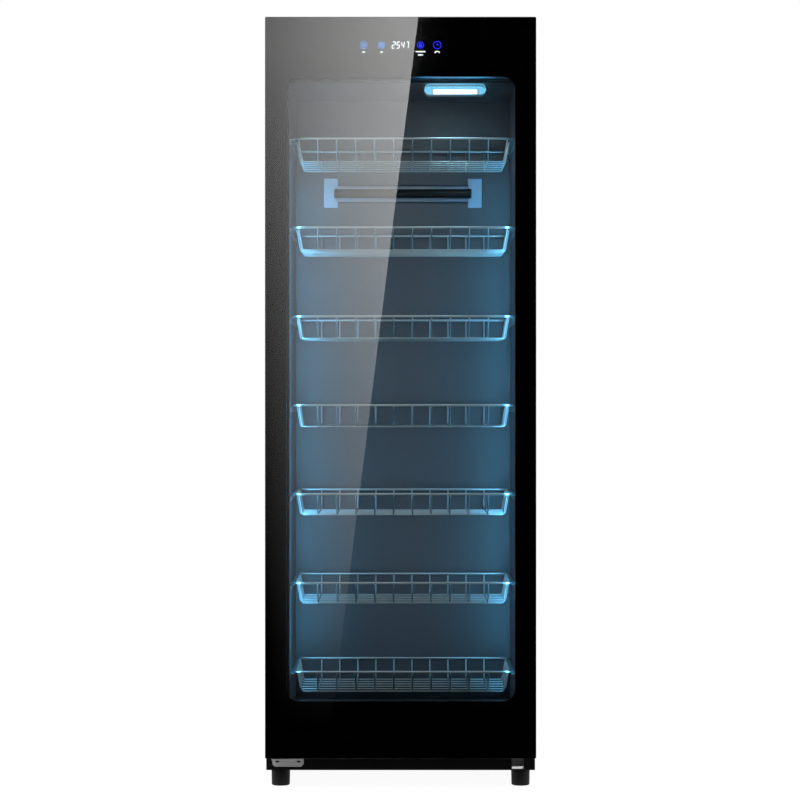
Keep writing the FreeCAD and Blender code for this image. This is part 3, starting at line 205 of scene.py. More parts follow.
lamplight = {"scale": 90, "dim": 0.94, "unlit": 0.5, "rough": 0.4, "roughSwing": 0.1}


def lit(name, colour, strength):
    # a lit face, a little uneven; unlit is its own colour's share of the light's
    def vary(start):
        uneven = noise(start, lamplight["scale"], 2)
        return {
            "Emission Color": between(uneven, shade(colour, lamplight["dim"]), colour),
            "Roughness": lamplight["rough"] + lamplight["roughSwing"] * uneven,
        }
    unlit = (*shade(colour, lamplight["unlit"]), 1)
    return surface(name, {"Base Color": unlit, "Emission Strength": strength}, vary)


def linkMesh(name, mesh):
    piece = bpy.data.objects.new(name, mesh)
    bpy.context.scene.collection.objects.link(piece)
    return piece


cleaning = {"merge": 0.002 * mm, "flat": 1, "sharp": 35, "smooth": 50}  # distance, then angles in degrees


def smoothMesh(mesh):
    # large flat faces keep their own normal up to the edge, and the small faces between them turn smoothly
    limit = math.radians(cleaning["smooth"])
    share = [Vector() for _ in mesh.vertices]
    for polygon in mesh.polygons:
        polygon.use_smooth = True
        for corner in polygon.vertices:
            share[corner] += polygon.normal * polygon.area
    normals = []
    for polygon in mesh.polygons:
        for corner in polygon.vertices:
            near = share[corner].length > 0 and share[corner].angle(polygon.normal) < limit
            normals.append(share[corner].normalized() if near else polygon.normal.copy())
    mesh.normals_split_custom_set(normals)


def meshFrom(shape, name):
    mesh = bpy.data.meshes.new(name)
    shape.to_mesh(mesh)
    shape.free()
    smoothMesh(mesh)
    return mesh


def bevelEdges(shape, edges, width, segments):
    bmesh.ops.bevel(
        shape, geom=edges, offset=width, offset_type="OFFSET", segments=segments, profile=0.5,
        affect="EDGES", clamp_overlap=True,
    )


def roundEdges(shape, width):
    limit = math.radians(cleaning["sharp"])
    sharp = [edge for edge in shape.edges if len(edge.link_faces) == 2 and edge.calc_face_angle() > limit]
    bevelEdges(shape, sharp, width, 2)


def softShape(node):
    # a merged copy of a CAD node, with its flat faces whole again
    shape = bmesh.new()
    shape.from_mesh(nodes[node].data)
    bmesh.ops.remove_doubles(shape, verts=shape.verts, dist=cleaning["merge"])
    flat = math.radians(cleaning["flat"])
    bmesh.ops.dissolve_limit(shape, angle_limit=flat, verts=shape.verts, edges=shape.edges)
    return shape


def seat(piece, body, slot, *replaced):
    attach(piece, body)
    if replaced:
        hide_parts(*replaced)


def finishPiece(piece, material, body, slot, *replaced):
    piece.data.materials.clear()
    piece.data.materials.append(material)
    seat(piece, body, slot, *replaced)


def finishShape(shape, name, material, body, slot, *replaced):
    # a shape that was built here, made into a piece
    outward(shape)
    finishPiece(linkMesh(name, meshFrom(shape, name)), material, body, slot, *replaced)


def soften(node, name, material, body, slot, width):
    # a CAD node's own shape with its edges rounded
    shape = softShape(node)
    roundEdges(shape, width)
    finishPiece(linkMesh(name, meshFrom(shape, name)), material, body, slot, node)


def dress(node, material):
    # the CAD node itself, in the material
    mesh = nodes[node].data
    mesh.materials.clear()
    mesh.materials.append(material)


def addBlock(shape, low, high):
    middle = (Vector(low) + Vector(high)) / 2
    size = Vector(high) - Vector(low)
    bmesh.ops.create_cube(shape, size=1, matrix=Matrix.Translation(middle) @ Matrix.Diagonal((*size, 1)))


def addSlab(shape, outer, front, back, inner=None):
    # a flat plate in the XZ plane, from y = front to y = back, perhaps with a hole of as many corners
    def loop(points, y):
        return [shape.verts.new((x, y, z)) for x, z in points]

    count = len(outer)
    outerFront, outerBack = loop(outer, front), loop(outer, back)
    if inner:
        innerFront, innerBack = loop(inner, front), loop(inner, back)
    else:
        shape.faces.new(outerFront)
        shape.faces.new(outerBack)
    for here in range(count):
        there = (here + 1) % count
        shape.faces.new((outerFront[here], outerFront[there], outerBack[there], outerBack[here]))
        if inner:
            shape.faces.new((innerFront[here], innerFront[there], innerBack[there], innerBack[here]))
            shape.faces.new((outerFront[here], outerFront[there], innerFront[there], innerFront[here]))
            shape.faces.new((outerBack[here], outerBack[there], innerBack[there], innerBack[here]))


def outward(shape):
    bmesh.ops.recalc_face_normals(shape, faces=shape.faces)


def circlePoints(centreX, centreZ, radius, count, start=0.0, turn=360.0):
    steps = count if turn >= 360 else count - 1
    return [
        (
            centreX + radius * math.cos(math.radians(start + turn * step / steps)),
            centreZ + radius * math.sin(math.radians(start + turn * step / steps)),
        )
        for step in range(count)
    ]


def roundedRectangle(left, right, bottom, top, radius, steps=12):
    corners = (
        (right - radius, top - radius, 0),
        (left + radius, top - radius, 90),
        (left + radius, bottom + radius, 180),
        (right - radius, bottom + radius, 270),
    )
    points = []
    for cornerX, cornerZ, start in corners:
        points += circlePoints(cornerX, cornerZ, radius, steps, start, 90)
    return points


def addLathe(shape, centre, profile, axis="z", steps=64):
    # profile is a list of (radius, along); closed at both ends where the radius is 0
    centre = Vector(centre)
    rings = []
    for radius, along in profile:
        if radius == 0:
            offset = Vector((0, 0, along)) if axis == "z" else Vector((along, 0, 0))
            rings.append([shape.verts.new(centre + offset)])
            continue
        ring = []
        for step in range(steps):
            angle = 2 * math.pi * step / steps
            a, b = radius * math.cos(angle), radius * math.sin(angle)
            offset = Vector((a, b, along)) if axis == "z" else Vector((along, a, b))
            ring.append(shape.verts.new(centre + offset))
        rings.append(ring)
    for first, second in zip(rings, rings[1:]):
        for step in range(steps):
            after = (step + 1) % steps
            if len(first) == 1:
                shape.faces.new((first[0], second[step], second[after]))
            elif len(second) == 1:
                shape.faces.new((first[step], first[after], second[0]))
            else:
                shape.faces.new((first[step], first[after], second[after], second[step]))


def growTree(name, sockets, build):
    # a geometry tree with named inputs; build gets the inputs as links and returns the final geometry
    tree = bpy.data.node_groups.new(name, "GeometryNodeTree")
    tree.interface.new_socket(name="Geometry", in_out="OUTPUT", socket_type="NodeSocketGeometry")
    tree.interface.new_socket(name="Geometry", in_out="INPUT", socket_type="NodeSocketGeometry")
    for socketName, socketType in sockets.items():
        tree.interface.new_socket(name=socketName, in_out="INPUT", socket_type=socketType)
    source = tree.nodes.new("NodeGroupInput")
    inputs = {socket.name: Link(tree, socket) for socket in source.outputs if socket.name}
    done = build(inputs)
    done = done.make("GeometryNodeRealizeInstances", values={"Geometry": done})
    done = done.make("GeometryNodeSetMaterial", values={"Geometry": done, "Material": inputs["Material"]})
    target = tree.nodes.new("NodeGroupOutput")
    tree.links.new(done.socket, target.inputs["Geometry"])
    return tree


def grow(name, base, tree, values):
    # runs the tree on the base mesh and keeps the result as a plain mesh
    piece = linkMesh(name, base)
    modifier = piece.modifiers.new("grow", "NODES")
    modifier.node_group = tree
    for socket in tree.interface.items_tree:
        if socket.in_out == "INPUT" and socket.name in values:
            modifier[socket.identifier] = values[socket.name]
    evaluated = piece.evaluated_get(bpy.context.evaluated_depsgraph_get())
    mesh = bpy.data.meshes.new_from_object(evaluated)
    piece.modifiers.clear()
    piece.data = mesh
    smoothMesh(mesh)
    return piece


# stage and light
stage = {
    "floorSize": 24.0,
    "floorColour": (0.86, 0.86, 0.86),
    "floorUneven": 0.98,
    "floorGlow": 0.90,  # how much of the floor's white is there where the cabinet shades it
    "floorWhite": 1.05,
    "worldFill": 0.62,
}


def plane(name, corners):
    mesh = bpy.data.meshes.new(name)
    mesh.from_pydata(corners, [], [tuple(range(len(corners)))])
    piece = linkMesh(name, mesh)
    return piece


def raySum(start):
    # 1 where the surface is seen straight, or by way of metal or glass
    straight, glossy, through = (
        start.make("ShaderNodeLightPath", output=f"Is {kind} Ray") for kind in ("Camera", "Glossy", "Transmission")
    )
    return start.calc("MINIMUM", straight + glossy + through, 1)


def limited(start, value):
    # the value, kept between 0 and 1
    return start.calc("MINIMUM", start.calc("MAXIMUM", value, 0), 1)


def emptyMaterial(name):
    # a material for the stage, with nothing but its output
    material = bpy.data.materials.new(name)
    material.use_nodes = True
    tree = material.node_tree
    tree.nodes.remove(tree.nodes["Principled BSDF"])
    return material, tree, tree.nodes["Material Output"]


half = stage["floorSize"] / 2
floor = plane("floor", [(-half, -half, 0), (half, -half, 0), (half, half, 0), (-half, half, 0)])
material, tree, output = emptyMaterial("paleFloor")
start = Link(tree)
body = start.make("ShaderNodeBsdfDiffuse", values={
    "Color": between(noise(start, 3, 3), shade(stage["floorColour"], stage["floorUneven"]), stage["floorColour"]),
})
glow = start.make("ShaderNodeEmission", values={"Color": (1, 1, 1, 1), "Strength": stage["floorWhite"]})
floorMix = start.make("ShaderNodeMixShader", values={0: raySum(start) * stage["floorGlow"], 1: body, 2: glow})
tree.links.new(floorMix.socket, output.inputs["Surface"])
floor.data.materials.append(material)

world = bpy.data.worlds.new("studio")
bpy.context.scene.world = world
world.use_nodes = True
tree = world.node_tree
start = Link(tree)
fill = start.make("ShaderNodeBackground", values={"Color": (1, 1, 1, 1), "Strength": stage["worldFill"]})
white = start.make("ShaderNodeBackground", values={"Color": (1, 1, 1, 1), "Strength": 1.0})
worldMix = start.make("ShaderNodeMixShader", values={0: raySum(start), 1: fill, 2: white})
tree.links.new(worldMix.socket, tree.nodes["World Output"].inputs["Surface"])


def onlyReflected(piece):
    # neither seen straight nor casting light or shadow
    piece.visible_camera = False
    piece.visible_diffuse = False
    piece.visible_shadow = False
    piece.visible_volume_scatter = False


def reflectedShader(start, tree, output, shader):
    # the shader shows only on rays that some surface has reflected, so the glass can be looked through
    reflections = start.make("ShaderNodeLightPath", output="Glossy Depth")
    unseen = start.make("ShaderNodeBsdfTransparent", values={"Color": (1, 1, 1, 1)})
    mixed = start.make("ShaderNodeMixShader", values={0: start.calc("MINIMUM", reflections, 1), 1: unseen, 2: shader})
    tree.links.new(mixed.socket, output.inputs["Surface"])


def mirrored(pixelX, pixelY, gap):
    # the point of a card, which stands the gap in front of the door, that the door mirrors at this pixel
    reach = 1 + gap / view["distance"]
    return (
        view["across"] + (pixelX - view["frame"] / 2) * view["pixel"] * reach,
        view["doorFront"] - gap,
        view["height"] + (view["frame"] / 2 - pixelY) * view["pixel"] * reach,
    )


# a long soft window, seen only as its reflection in the door
softWindow = {
    "gap": 0.95,
    "topEdge": (423.0, -21.0),
    "bottomEdge": (330.2, 730.0),
    "left": 225.0,
    "doorLeft": 265.0,
    "strength": 3.9,
    "fadeTop": 48.0,
    "fadePower": 1.6,
    "sideShare": 0.42,  # brightness at the door's left side against that at the window's edge
    "sidePower": 0.75,
    "sideEnd": 0.14,
    "edgeWidth": 0.0036,
    "edgeGain": 1.12,
    "tint": (1.0, 0.99, 0.98),
    "least": 0.001,  # what is raised to a power stays above zero
}
gap = softWindow["gap"]
topX, _, topZ = mirrored(*softWindow["topEdge"], gap)
lowX, _, lowZ = mirrored(*softWindow["bottomEdge"], gap)
leftX = mirrored(softWindow["left"], 0, gap)[0]
depth = view["doorFront"] - gap
card = plane("softWindow", [(leftX, depth, topZ), (topX, depth, topZ), (lowX, depth, lowZ), (leftX, depth, lowZ)])
onlyReflected(card)
material, tree, output = emptyMaterial("softWindowGlow")
start = Link(tree)
across, height = placeAlong(start, "X"), placeAlong(start, "Z")
fadeZ = mirrored(0, softWindow["fadeTop"], gap)[2]
doorLeftX = mirrored(softWindow["doorLeft"], 0, gap)[0]
edgeX = (height - lowZ) * ((topX - lowX) / (topZ - lowZ)) + lowX
side = start.calc("MAXIMUM", (across - doorLeftX) / (edgeX - doorLeftX), 0)
fall = start.calc("MAXIMUM", start.calc("MINIMUM", (height - lowZ) / (fadeZ - lowZ), 1), softWindow["least"])
low = start.calc("MAXIMUM", fall - softWindow["sideEnd"], softWindow["least"])
low = low ** softWindow["sidePower"] * softWindow["sideShare"]
rimLine = start.calc("GREATER_THAN", across, edgeX - softWindow["edgeWidth"]) * (softWindow["edgeGain"] - 1) + 1
level = fall ** softWindow["fadePower"] * (side + (1 - side) * low) * rimLine
glow = start.make("ShaderNodeEmission", values={
    "Color": between(level, (0, 0, 0), softWindow["tint"]), "Strength": softWindow["strength"],
})
reflectedShader(start, tree, output, glow)
card.data.materials.append(material)

# a black flag and a black carpet keep the rest of the door's reflection dark
flags = {
    "gap": 1.0, "left": 120, "right": 680, "top": -60, "bottom": 731,
    "carpetHalf": 0.62, "carpetNear": -0.19, "carpetFar": -1.3, "lift": 3 * mm,
    "black": (0.001, 0.001, 0.001, 1),
}
gap = flags["gap"]
flag = plane("blackFlag", [
    mirrored(flags["left"], flags["top"], gap), mirrored(flags["right"], flags["top"], gap),
    mirrored(flags["right"], flags["bottom"], gap), mirrored(flags["left"], flags["bottom"], gap),
])
wide, near, far, lift = flags["carpetHalf"], flags["carpetNear"], flags["carpetFar"], flags["lift"]
carpet = plane("blackCarpet", [(-wide, near, lift), (wide, near, lift), (wide, far, lift), (-wide, far, lift)])
material, tree, output = emptyMaterial("blackFelt")
start = Link(tree)
felt = start.make("ShaderNodeBsdfDiffuse", values={"Color": flags["black"]})
reflectedShader(start, tree, output, felt)
for piece in (flag, carpet):
    onlyReflected(piece)
    piece.data.materials.append(material)


def areaLight(name, place, target, width, height, power, colour=(1, 1, 1), glossy=False):
    data = bpy.data.lights.new(name, "AREA")
    data.shape = "RECTANGLE"
    data.size = width
    data.size_y = height
    data.energy = power
    data.color = colour
    lamp = bpy.data.objects.new(name, data)
    lamp.location = place
    lamp.rotation_euler = (Vector(target) - Vector(place)).to_track_quat("-Z", "Y").to_euler()
    lamp.visible_camera = False
    lamp.visible_glossy = glossy
    lamp.visible_transmission = False
    bpy.context.scene.collection.objects.link(lamp)
    return lamp


studio = {
    "size": 2.6,
    "lights": {  # place, height that it points at, power
        "keyLight": ((-3.4, -3.2, 3.4), 0.8, 110),
        "fillLight": ((3.6, -2.4, 2.2), 0.8, 70),
        "backLight": ((0.6, 3.8, 3.2), 0.9, 90),
    },
}
for name, (place, aimHeight, power) in studio["lights"].items():
    areaLight(name, place, (0, 0, aimHeight), studio["size"], studio["size"], power)
print("stage and lights set")


# materials: a colour and a roughness each, then a coat's grain, its depth and the spread of its tone,
# or a metal's stretch and spread
powderBlack = coat("powderBlack", (0.0045, 0.0045, 0.005), 0.42, 520, 0.15 * mm, **{"Specular IOR Level": 0.18})
enamel = {"grain": 1600, "depth": 0.02 * mm, "spread": 0.08}
enamelDark = coat("enamelDark", (0.043, 0.042, 0.045), 0.38, **enamel)
# the side liners: the same enamel made lighter and bluer, with the side lamps' light painted in
enamelSidePaintedLight = coat("enamelSidePaintedLight", (0.088, 0.098, 0.112), 0.38, **enamel)
# the floor liner: the same enamel made near black, painted shade at the cabinet's bottom
enamelFloorPaintedShade = coat("enamelFloorPaintedShade", (0.006, 0.006, 0.0065), 0.55, **enamel, **{"Specular IOR Level": 0.05})
# painted shade: the back sheet's enamel goes dark over its lowest part, above the floor
paintedShadeBand = {
    "low": 160 * mm, "high": 205 * mm, "dark": (0.004, 0.004, 0.0045), "enamel": (0.043, 0.042, 0.045), "rough": 0.38,
}


def enamelBackPaintedShade(start):
    # the back sheet's enamel, with painted shade darkening it towards the floor
    rise = limited(start, (placeAlong(start, "Z") - paintedShadeBand["low"]) / (paintedShadeBand["high"] - paintedShadeBand["low"]))
    return {
        "Base Color": between(rise, paintedShadeBand["dark"], paintedShadeBand["enamel"]),
        **skin(start, paintedShadeBand["rough"], enamel["grain"], enamel["depth"]),
    }


enamelBack = surface("enamelBack", {}, enamelBackPaintedShade)
anodisedBlack = metal("anodisedBlack", (0.020, 0.020, 0.022), 0.34, (1, 1, 0.04))
anodisedAcross = metal("anodisedAcross", (0.020, 0.020, 0.022), 0.34, (0.04, 1, 1))
frontGlass = clear("frontGlass", (0.95, 0.97, 0.97), 1.5)
paneGlass = clear("paneGlass", (0.97, 0.99, 0.99), 1.2)
printBlack = coat("printBlack", (0.0008, 0.0008, 0.0008), 0.12, 300, 0, 0.2, **{"Specular IOR Level": 0.1})
sealRubber = coat("sealRubber", (0.024, 0.024, 0.025), 0.62, 1400, 0.04 * mm)
wireChrome = metal("wireChrome", (0.42, 0.45, 0.45), 0.34, (1, 1, 1), 0.05)
railSteel = metal("railSteel", (0.42, 0.46, 0.48), 0.34, (1, 0.03, 1))
# the tube's end caps glow faintly: a painted glow, since the caps are no lamp
lampCapPaintedGlow = lit("lampCapPaintedGlow", (0.55, 0.80, 0.92), 0.35)
quartzDark = coat("quartzDark", (0.008, 0.007, 0.006), 0.30, 300, 0.02 * mm, 0.3, **{"Specular IOR Level": 0.15})
reflectorSheet = metal("reflectorSheet", (0.22, 0.25, 0.29), 0.38, (0.03, 1, 1))
tabSteel = metal("tabSteel", (0.24, 0.28, 0.33), 0.42, (1, 1, 0.05))
grilleSteel = metal("grilleSteel", (0.22, 0.23, 0.24), 0.4, (0.05, 1, 1))
finAluminium = metal("finAluminium", (0.6, 0.6, 0.62), 0.4, (1, 0.05, 1))
zincSheet = metal("zincSheet", (0.46, 0.46, 0.465), 0.42, (0.06, 1, 1), 0.12, **{"Metallic": 0.35})
galvanised = metal("galvanised", (0.45, 0.46, 0.47), 0.45, (1, 1, 0.1))
turnedSteel = metal("turnedSteel", (0.55, 0.56, 0.57), 0.3, (0.2, 0.2, 1))
screwBlack = metal("screwBlack", (0.05, 0.05, 0.052), 0.38, (1, 1, 1))
catchBlack = metal("catchBlack", (0.085, 0.085, 0.086), 0.34, (1, 1, 0.1), 0.4, **{"Metallic": 0.3})
nylonWhite = coat("nylonWhite", (0.86, 0.86, 0.85), 0.38, 700, 0.05 * mm, 0.03)
nylonBlack = coat("nylonBlack", (0.02, 0.02, 0.02), 0.5, 900, 0.08 * mm)
footRubber = coat("footRubber", (0.004, 0.004, 0.0042), 0.55, 1200, 0.1 * mm, **{"Specular IOR Level": 0.2})
boardGreen = coat("boardGreen", (0.03, 0.13, 0.06), 0.45, 400, 0.08 * mm, 0.3)
plasticGrey = coat("plasticGrey", (0.35, 0.37, 0.40), 0.5, 900, 0.1 * mm, 0.08)
plasticBlack = coat("plasticBlack", (0.02, 0.02, 0.021), 0.5, 900, 0.1 * mm)
whiteEnamel = coat("whiteEnamel", (0.7, 0.71, 0.72), 0.4, 600, 0.08 * mm, 0.05)
feltBlanket = coat("feltBlanket", (0.5, 0.47, 0.38), 0.9, 500, 1.2 * mm, 0.2)
magnetGrey = coat("magnetGrey", (0.18, 0.18, 0.19), 0.5, 700, 0.1 * mm)
tubeGlow = lit("tubeGlow", (0.80, 0.94, 1.0), 1.7)
iconBlue = lit("iconBlue", (0.012, 0.028, 1.0), 2.0)
iconPale = lit("iconPale", (0.003, 0.190, 0.62), 1.9)
digitWhite = lit("digitWhite", (0.90, 0.95, 1.0), 2.2)
labelWhite = lit("labelWhite", (0.85, 0.88, 0.9), 1.3)
print("materials made")


# shell and plinth
shell = {"edge": 0.5 * mm, "inletEdge": 0.4 * mm, "grilleEdge": 0.3 * mm}
for node, name in (
    ("left_side_panel", "sidePanelLeft"), ("right_side_panel", "sidePanelRight"), ("top_panel", "topPanel"),
    ("base_pan", "basePan"), ("left_door_jamb", "doorJambLeft"), ("right_door_jamb", "doorJambRight"),
    ("back_panel", "backPanel"),
):
    soften(node, name, powderBlack, "cabinet", "shell_black", shell["edge"])
soften("power_inlet", "inletSocket", plasticBlack, "cabinet", "inlet_black", shell["inletEdge"])
soften("floor_grille", "floorGrille", grilleSteel, "cabinet", "grille_steel", shell["grilleEdge"])
for node, material in (
    ("liner_left", enamelSidePaintedLight), ("liner_right", enamelSidePaintedLight), ("liner_top", enamelDark), ("liner_back", enamelBack),
    ("liner_floor", enamelFloorPaintedShade), ("insulation_blanket", feltBlanket), ("door_switch", plasticBlack),
    ("power_board", boardGreen), ("lamp_ballast", whiteEnamel), ("ozone_generator", plasticGrey),
    ("air_heater", finAluminium), ("fan_duct", galvanised), ("fan_motor", turnedSteel), ("fan_wheel", plasticBlack),
):
    dress(node, material)
print("shell done")


# feet: slightly tapered pads with a rounded lower edge
feet = {
    "bottomRadius": 19.0 * mm,
    "topRadius": 19.8 * mm,
    "height": 35 * mm,
    "edge": 3.2 * mm,
    "edgeSteps": 6,
    "groove": ((0.2 * mm, 2.6 * mm), (1.0 * mm, 2.2 * mm), (1.0 * mm, 1.4 * mm), (0, 1.0 * mm)),  # inset, drop
}


def repeatBuild(inputs):
    # the base mesh again and again along a line
    start = inputs["Geometry"]
    spots = start.make("GeometryNodeMeshLine", {"mode": "OFFSET"}, {
        "Count": inputs["Count"], "Start Location": inputs["First"], "Offset": inputs["Step"],
    })
    return start.make("GeometryNodeInstanceOnPoints", values={"Points": spots, "Instance": start})


repeatTree = growTree("repeatInLine", {
    "Count": "NodeSocketInt", "First": "NodeSocketVector", "Step": "NodeSocketVector",
    "Material": "NodeSocketMaterial",
}, repeatBuild)


def scatterBuild(inputs):
    # a shape at each point of the base mesh
    start = inputs["Geometry"]
    shape = start.make(
        "GeometryNodeObjectInfo", {"transform_space": "ORIGINAL"}, {"Object": inputs["Shape"]}, "Geometry",
    )
    return start.make("GeometryNodeInstanceOnPoints", values={"Points": start, "Instance": shape})


scatterTree = growTree("atEachPoint", {
    "Shape": "NodeSocketObject", "Material": "NodeSocketMaterial",
}, scatterBuild)


def pointMesh(name, points):
    mesh = bpy.data.meshes.new(name)
    mesh.from_pydata(points, [], [])
    return mesh


def atPoints(name, shape, points, material, body, slot, *replaced):
    # one piece, with the shape at each of the points
    outward(shape)
    helper = linkMesh(name + "Shape", meshFrom(shape, name + "Shape"))
    piece = grow(name, pointMesh(name, points), scatterTree, {"Shape": helper, "Material": material})
    bpy.data.objects.remove(helper)
    seat(piece, body, slot, *replaced)


shape = bmesh.new()
bottom, top, tall, edge = feet["bottomRadius"], feet["topRadius"], feet["height"], feet["edge"]
turns = [math.pi / 2 * step / feet["edgeSteps"] for step in range(feet["edgeSteps"] + 1)]
curve = [(bottom - edge + edge * math.sin(turn), edge - edge * math.cos(turn)) for turn in turns]
groove = [(top - inset, tall - drop) for inset, drop in feet["groove"]]
addLathe(shape, (0, 0, 0), [(0, 0)] + curve + groove + [(top, tall), (0, tall)])
low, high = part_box("feet")
footX, footFront, footRear = high[0] - top, low[1] + top, high[1] - top
atPoints("footPads", shape, [
    (sign * footX, depth, 0) for sign in (-1, 1) for depth in (footFront, footRear)
], footRubber, "cabinet", "foot_black", "feet")
print("feet done")


# screws
screw = {
    "radius": 3.9 * mm,
    "height": 2.1 * mm,
    "steps": 24,
    "washer": ((1, 0.35), (0.78, 0.42), (0.78, 0.8), (0.7, 1)),  # shares of the radius and the height
    "crossReach": 0.5,
    "crossWidth": 0.18,
    "crossFoot": 0.9,
    "margin": 4 * mm,  # from the edge of a node's box to the middle of its first screw
    "spread": 22.5 * mm,
    "plinthFace": -168 * mm,
    "topPlateRow": -148 * mm,
    "topPlateDrop": 2.2 * mm,
    "backRows": 4,
}


def screwHead(turn):
    # washer head with a flush cross; turn lays it over from pointing up, in degrees about X
    radius, height = screw["radius"], screw["height"]
    shape = bmesh.new()
    profile = [(radius * across, height * up) for across, up in screw["washer"]]
    addLathe(shape, (0, 0, 0), [(0, 0), (radius, 0)] + profile, steps=screw["steps"])
    bmesh.ops.holes_fill(shape, edges=[edge for edge in shape.edges if len(edge.link_faces) == 1])
    reach, thin = screw["crossReach"] * radius, screw["crossWidth"] * radius
    for wide, deep in ((reach, thin), (thin, reach)):
        addBlock(shape, (-wide, -deep, screw["crossFoot"] * height), (wide, deep, height))
    bmesh.ops.transform(shape, matrix=Matrix.Rotation(math.radians(turn), 4, "X"), verts=shape.verts)
    return shape


low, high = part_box("hinge_screws")
margin, middle = screw["margin"], (low[0] + high[0]) / 2
pair = (middle - screw["spread"], middle + screw["spread"])
atPoints("plinthScrews", screwHead(90), [
    (x, screw["plinthFace"], low[2] + margin) for x in pair
], screwBlack, "cabinet", "screw_dark", "hinge_screws")
atPoints("topPlateScrews", screwHead(0), [
    (x, screw["topPlateRow"], high[2] - screw["topPlateDrop"]) for x in pair
], screwBlack, "cabinet", "screw_dark")
low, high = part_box("panel_screws")
gaps = screw["backRows"] - 1
rows = [low[2] + margin + (high[2] - low[2] - 2 * margin) * step / gaps for step in range(gaps + 1)]
atPoints("backPanelScrews", screwHead(-90), [
    (sign * (high[0] - margin), low[1], row) for sign in (-1, 1) for row in rows
], screwBlack, "cabinet", "screw_dark", "panel_screws")
print("screws done")


# hinges and the catch at the plinth
fittings = {"plateEdge": 0.5 * mm, "bracketEdge": 0.25 * mm, "barEdge": 0.5 * mm}
soften("lower_hinge_bracket", "hingePlateLower", zincSheet, "cabinet", "hinge_zinc", fittings["plateEdge"])
soften("upper_hinge_bracket", "hingePlateUpper", zincSheet, "cabinet", "hinge_zinc", fittings["plateEdge"])
dress("hinge_pins", turnedSteel)
dress("hinge_bushes", nylonBlack)
soften("catch_bracket", "catchBracket", catchBlack, "cabinet", "shell_black", fittings["bracketEdge"])
soften("catch_bar", "catchBar", nylonWhite, "cabinet", "catch_nylon", fittings["barEdge"])
print("hinges done")


# rails and baskets
rails = {"count": 7, "pitch": 0.186, "edge": 0.25 * mm}


def railsFrom(node, name):
    # one rail cut out of the CAD copy, softened and repeated up the wall
    shape = softShape(node)
    lowest = min(vertex.co.z for vertex in shape.verts)
    extra = [vertex for vertex in shape.verts if vertex.co.z > lowest + rails["pitch"] / 2]
    bmesh.ops.delete(shape, geom=extra, context="VERTS")
    roundEdges(shape, rails["edge"])
    piece = grow(name, meshFrom(shape, name), repeatTree, {
        "Count": rails["count"], "First": (0, 0, 0), "Step": (0, 0, rails["pitch"]), "Material": railSteel,
    })
    seat(piece, "cabinet", "rail_steel", node)


railsFrom("left_rails", "railsLeft")
railsFrom("right_rails", "railsRight")

basket = {
    "halfWidth": 229.3 * mm,
    "depth": 295 * mm,
    "rimRadius": 2.5 * mm,
    "wireRadius": 1.4 * mm,
    "corner": 16 * mm,
    "cornerSteps": 10,
    "rimSides": 16,
    "bend": 5 * mm,
    "bendSteps": 4,
    "wireSides": 12,
    "tuck": 0.8 * mm,  # the wires' ends stand this far above or below the rim's middle
    "straight": 5 * mm,  # a long wire goes straight down so far before it slopes
    "floor": -42 * mm,
    "frontSlope": 38 * mm,
    "backSlope": 10 * mm,
    "longCount": 10,
    "longPitch": 39.7 * mm,
    "sideTop": 225.4 * mm,
    "sideBottom": 217.6 * mm,
    "frontTop": 220.0 * mm,
    "frontBottom": 212.0 * mm,
    "crossCount": 6,
    "crossFirst": 42 * mm,
    "crossPitch": 47 * mm,
    "centre": 5 * mm,
    "front": -140 * mm,
}


def pathHelper(name, points, closed=False):
    # a line of edges that the basket's tree makes a wire of
    mesh = bpy.data.meshes.new(name)
    edges = [(step, step + 1) for step in range(len(points) - 1)]
    if closed:
        edges.append((len(points) - 1, 0))
    mesh.from_pydata(points, edges, [])
    return linkMesh(name, mesh)


def basketBuild(inputs):
    # a rim, the long wires, the cross wires, and a narrower cross wire in front of them
    start = inputs["Geometry"]

    def wire(path, radius, bend, steps, sides):
        # a round wire along the path, with its corners bent
        line = start.make("GeometryNodeObjectInfo", {"transform_space": "ORIGINAL"}, {"Object": path}, "Geometry")
        line = start.make("GeometryNodeMeshToCurve", values={"Mesh": line})
        line = start.make("GeometryNodeFilletCurve", {"mode": "POLY"}, {
            "Curve": line, "Radius": bend, "Count": steps, "Limit Radius": True,
        })
        ring = start.make("GeometryNodeCurvePrimitiveCircle", values={"Radius": radius, "Resolution": sides})
        return start.make("GeometryNodeCurveToMesh", values={"Curve": line, "Profile Curve": ring, "Fill Caps": True})

    def row(shape, count, first, step):
        spots = start.make("GeometryNodeMeshLine", {"mode": "OFFSET"}, {
            "Count": count, "Start Location": first, "Offset": step,
        })
        return start.make("GeometryNodeInstanceOnPoints", values={"Points": spots, "Instance": shape})

    rim = wire(inputs["Rim Path"], inputs["Rim Radius"], inputs["Corner"], basket["cornerSteps"], basket["rimSides"])
    long, cross, front = (
        wire(inputs[path], inputs["Wire Radius"], inputs["Bend"], basket["bendSteps"], basket["wireSides"])
        for path in ("Long Path", "Cross Path", "Front Path")
    )
    longRow = row(long, inputs["Long Count"], inputs["Long First"], inputs["Long Step"])
    crossRow = row(cross, inputs["Cross Count"], inputs["Cross First"], inputs["Cross Step"])
    joined = start.make("GeometryNodeJoinGeometry", values={"Geometry": [rim, longRow, crossRow, front]})
    return start.make("GeometryNodeTransform", values={"Geometry": joined, "Translation": inputs["Place"]})


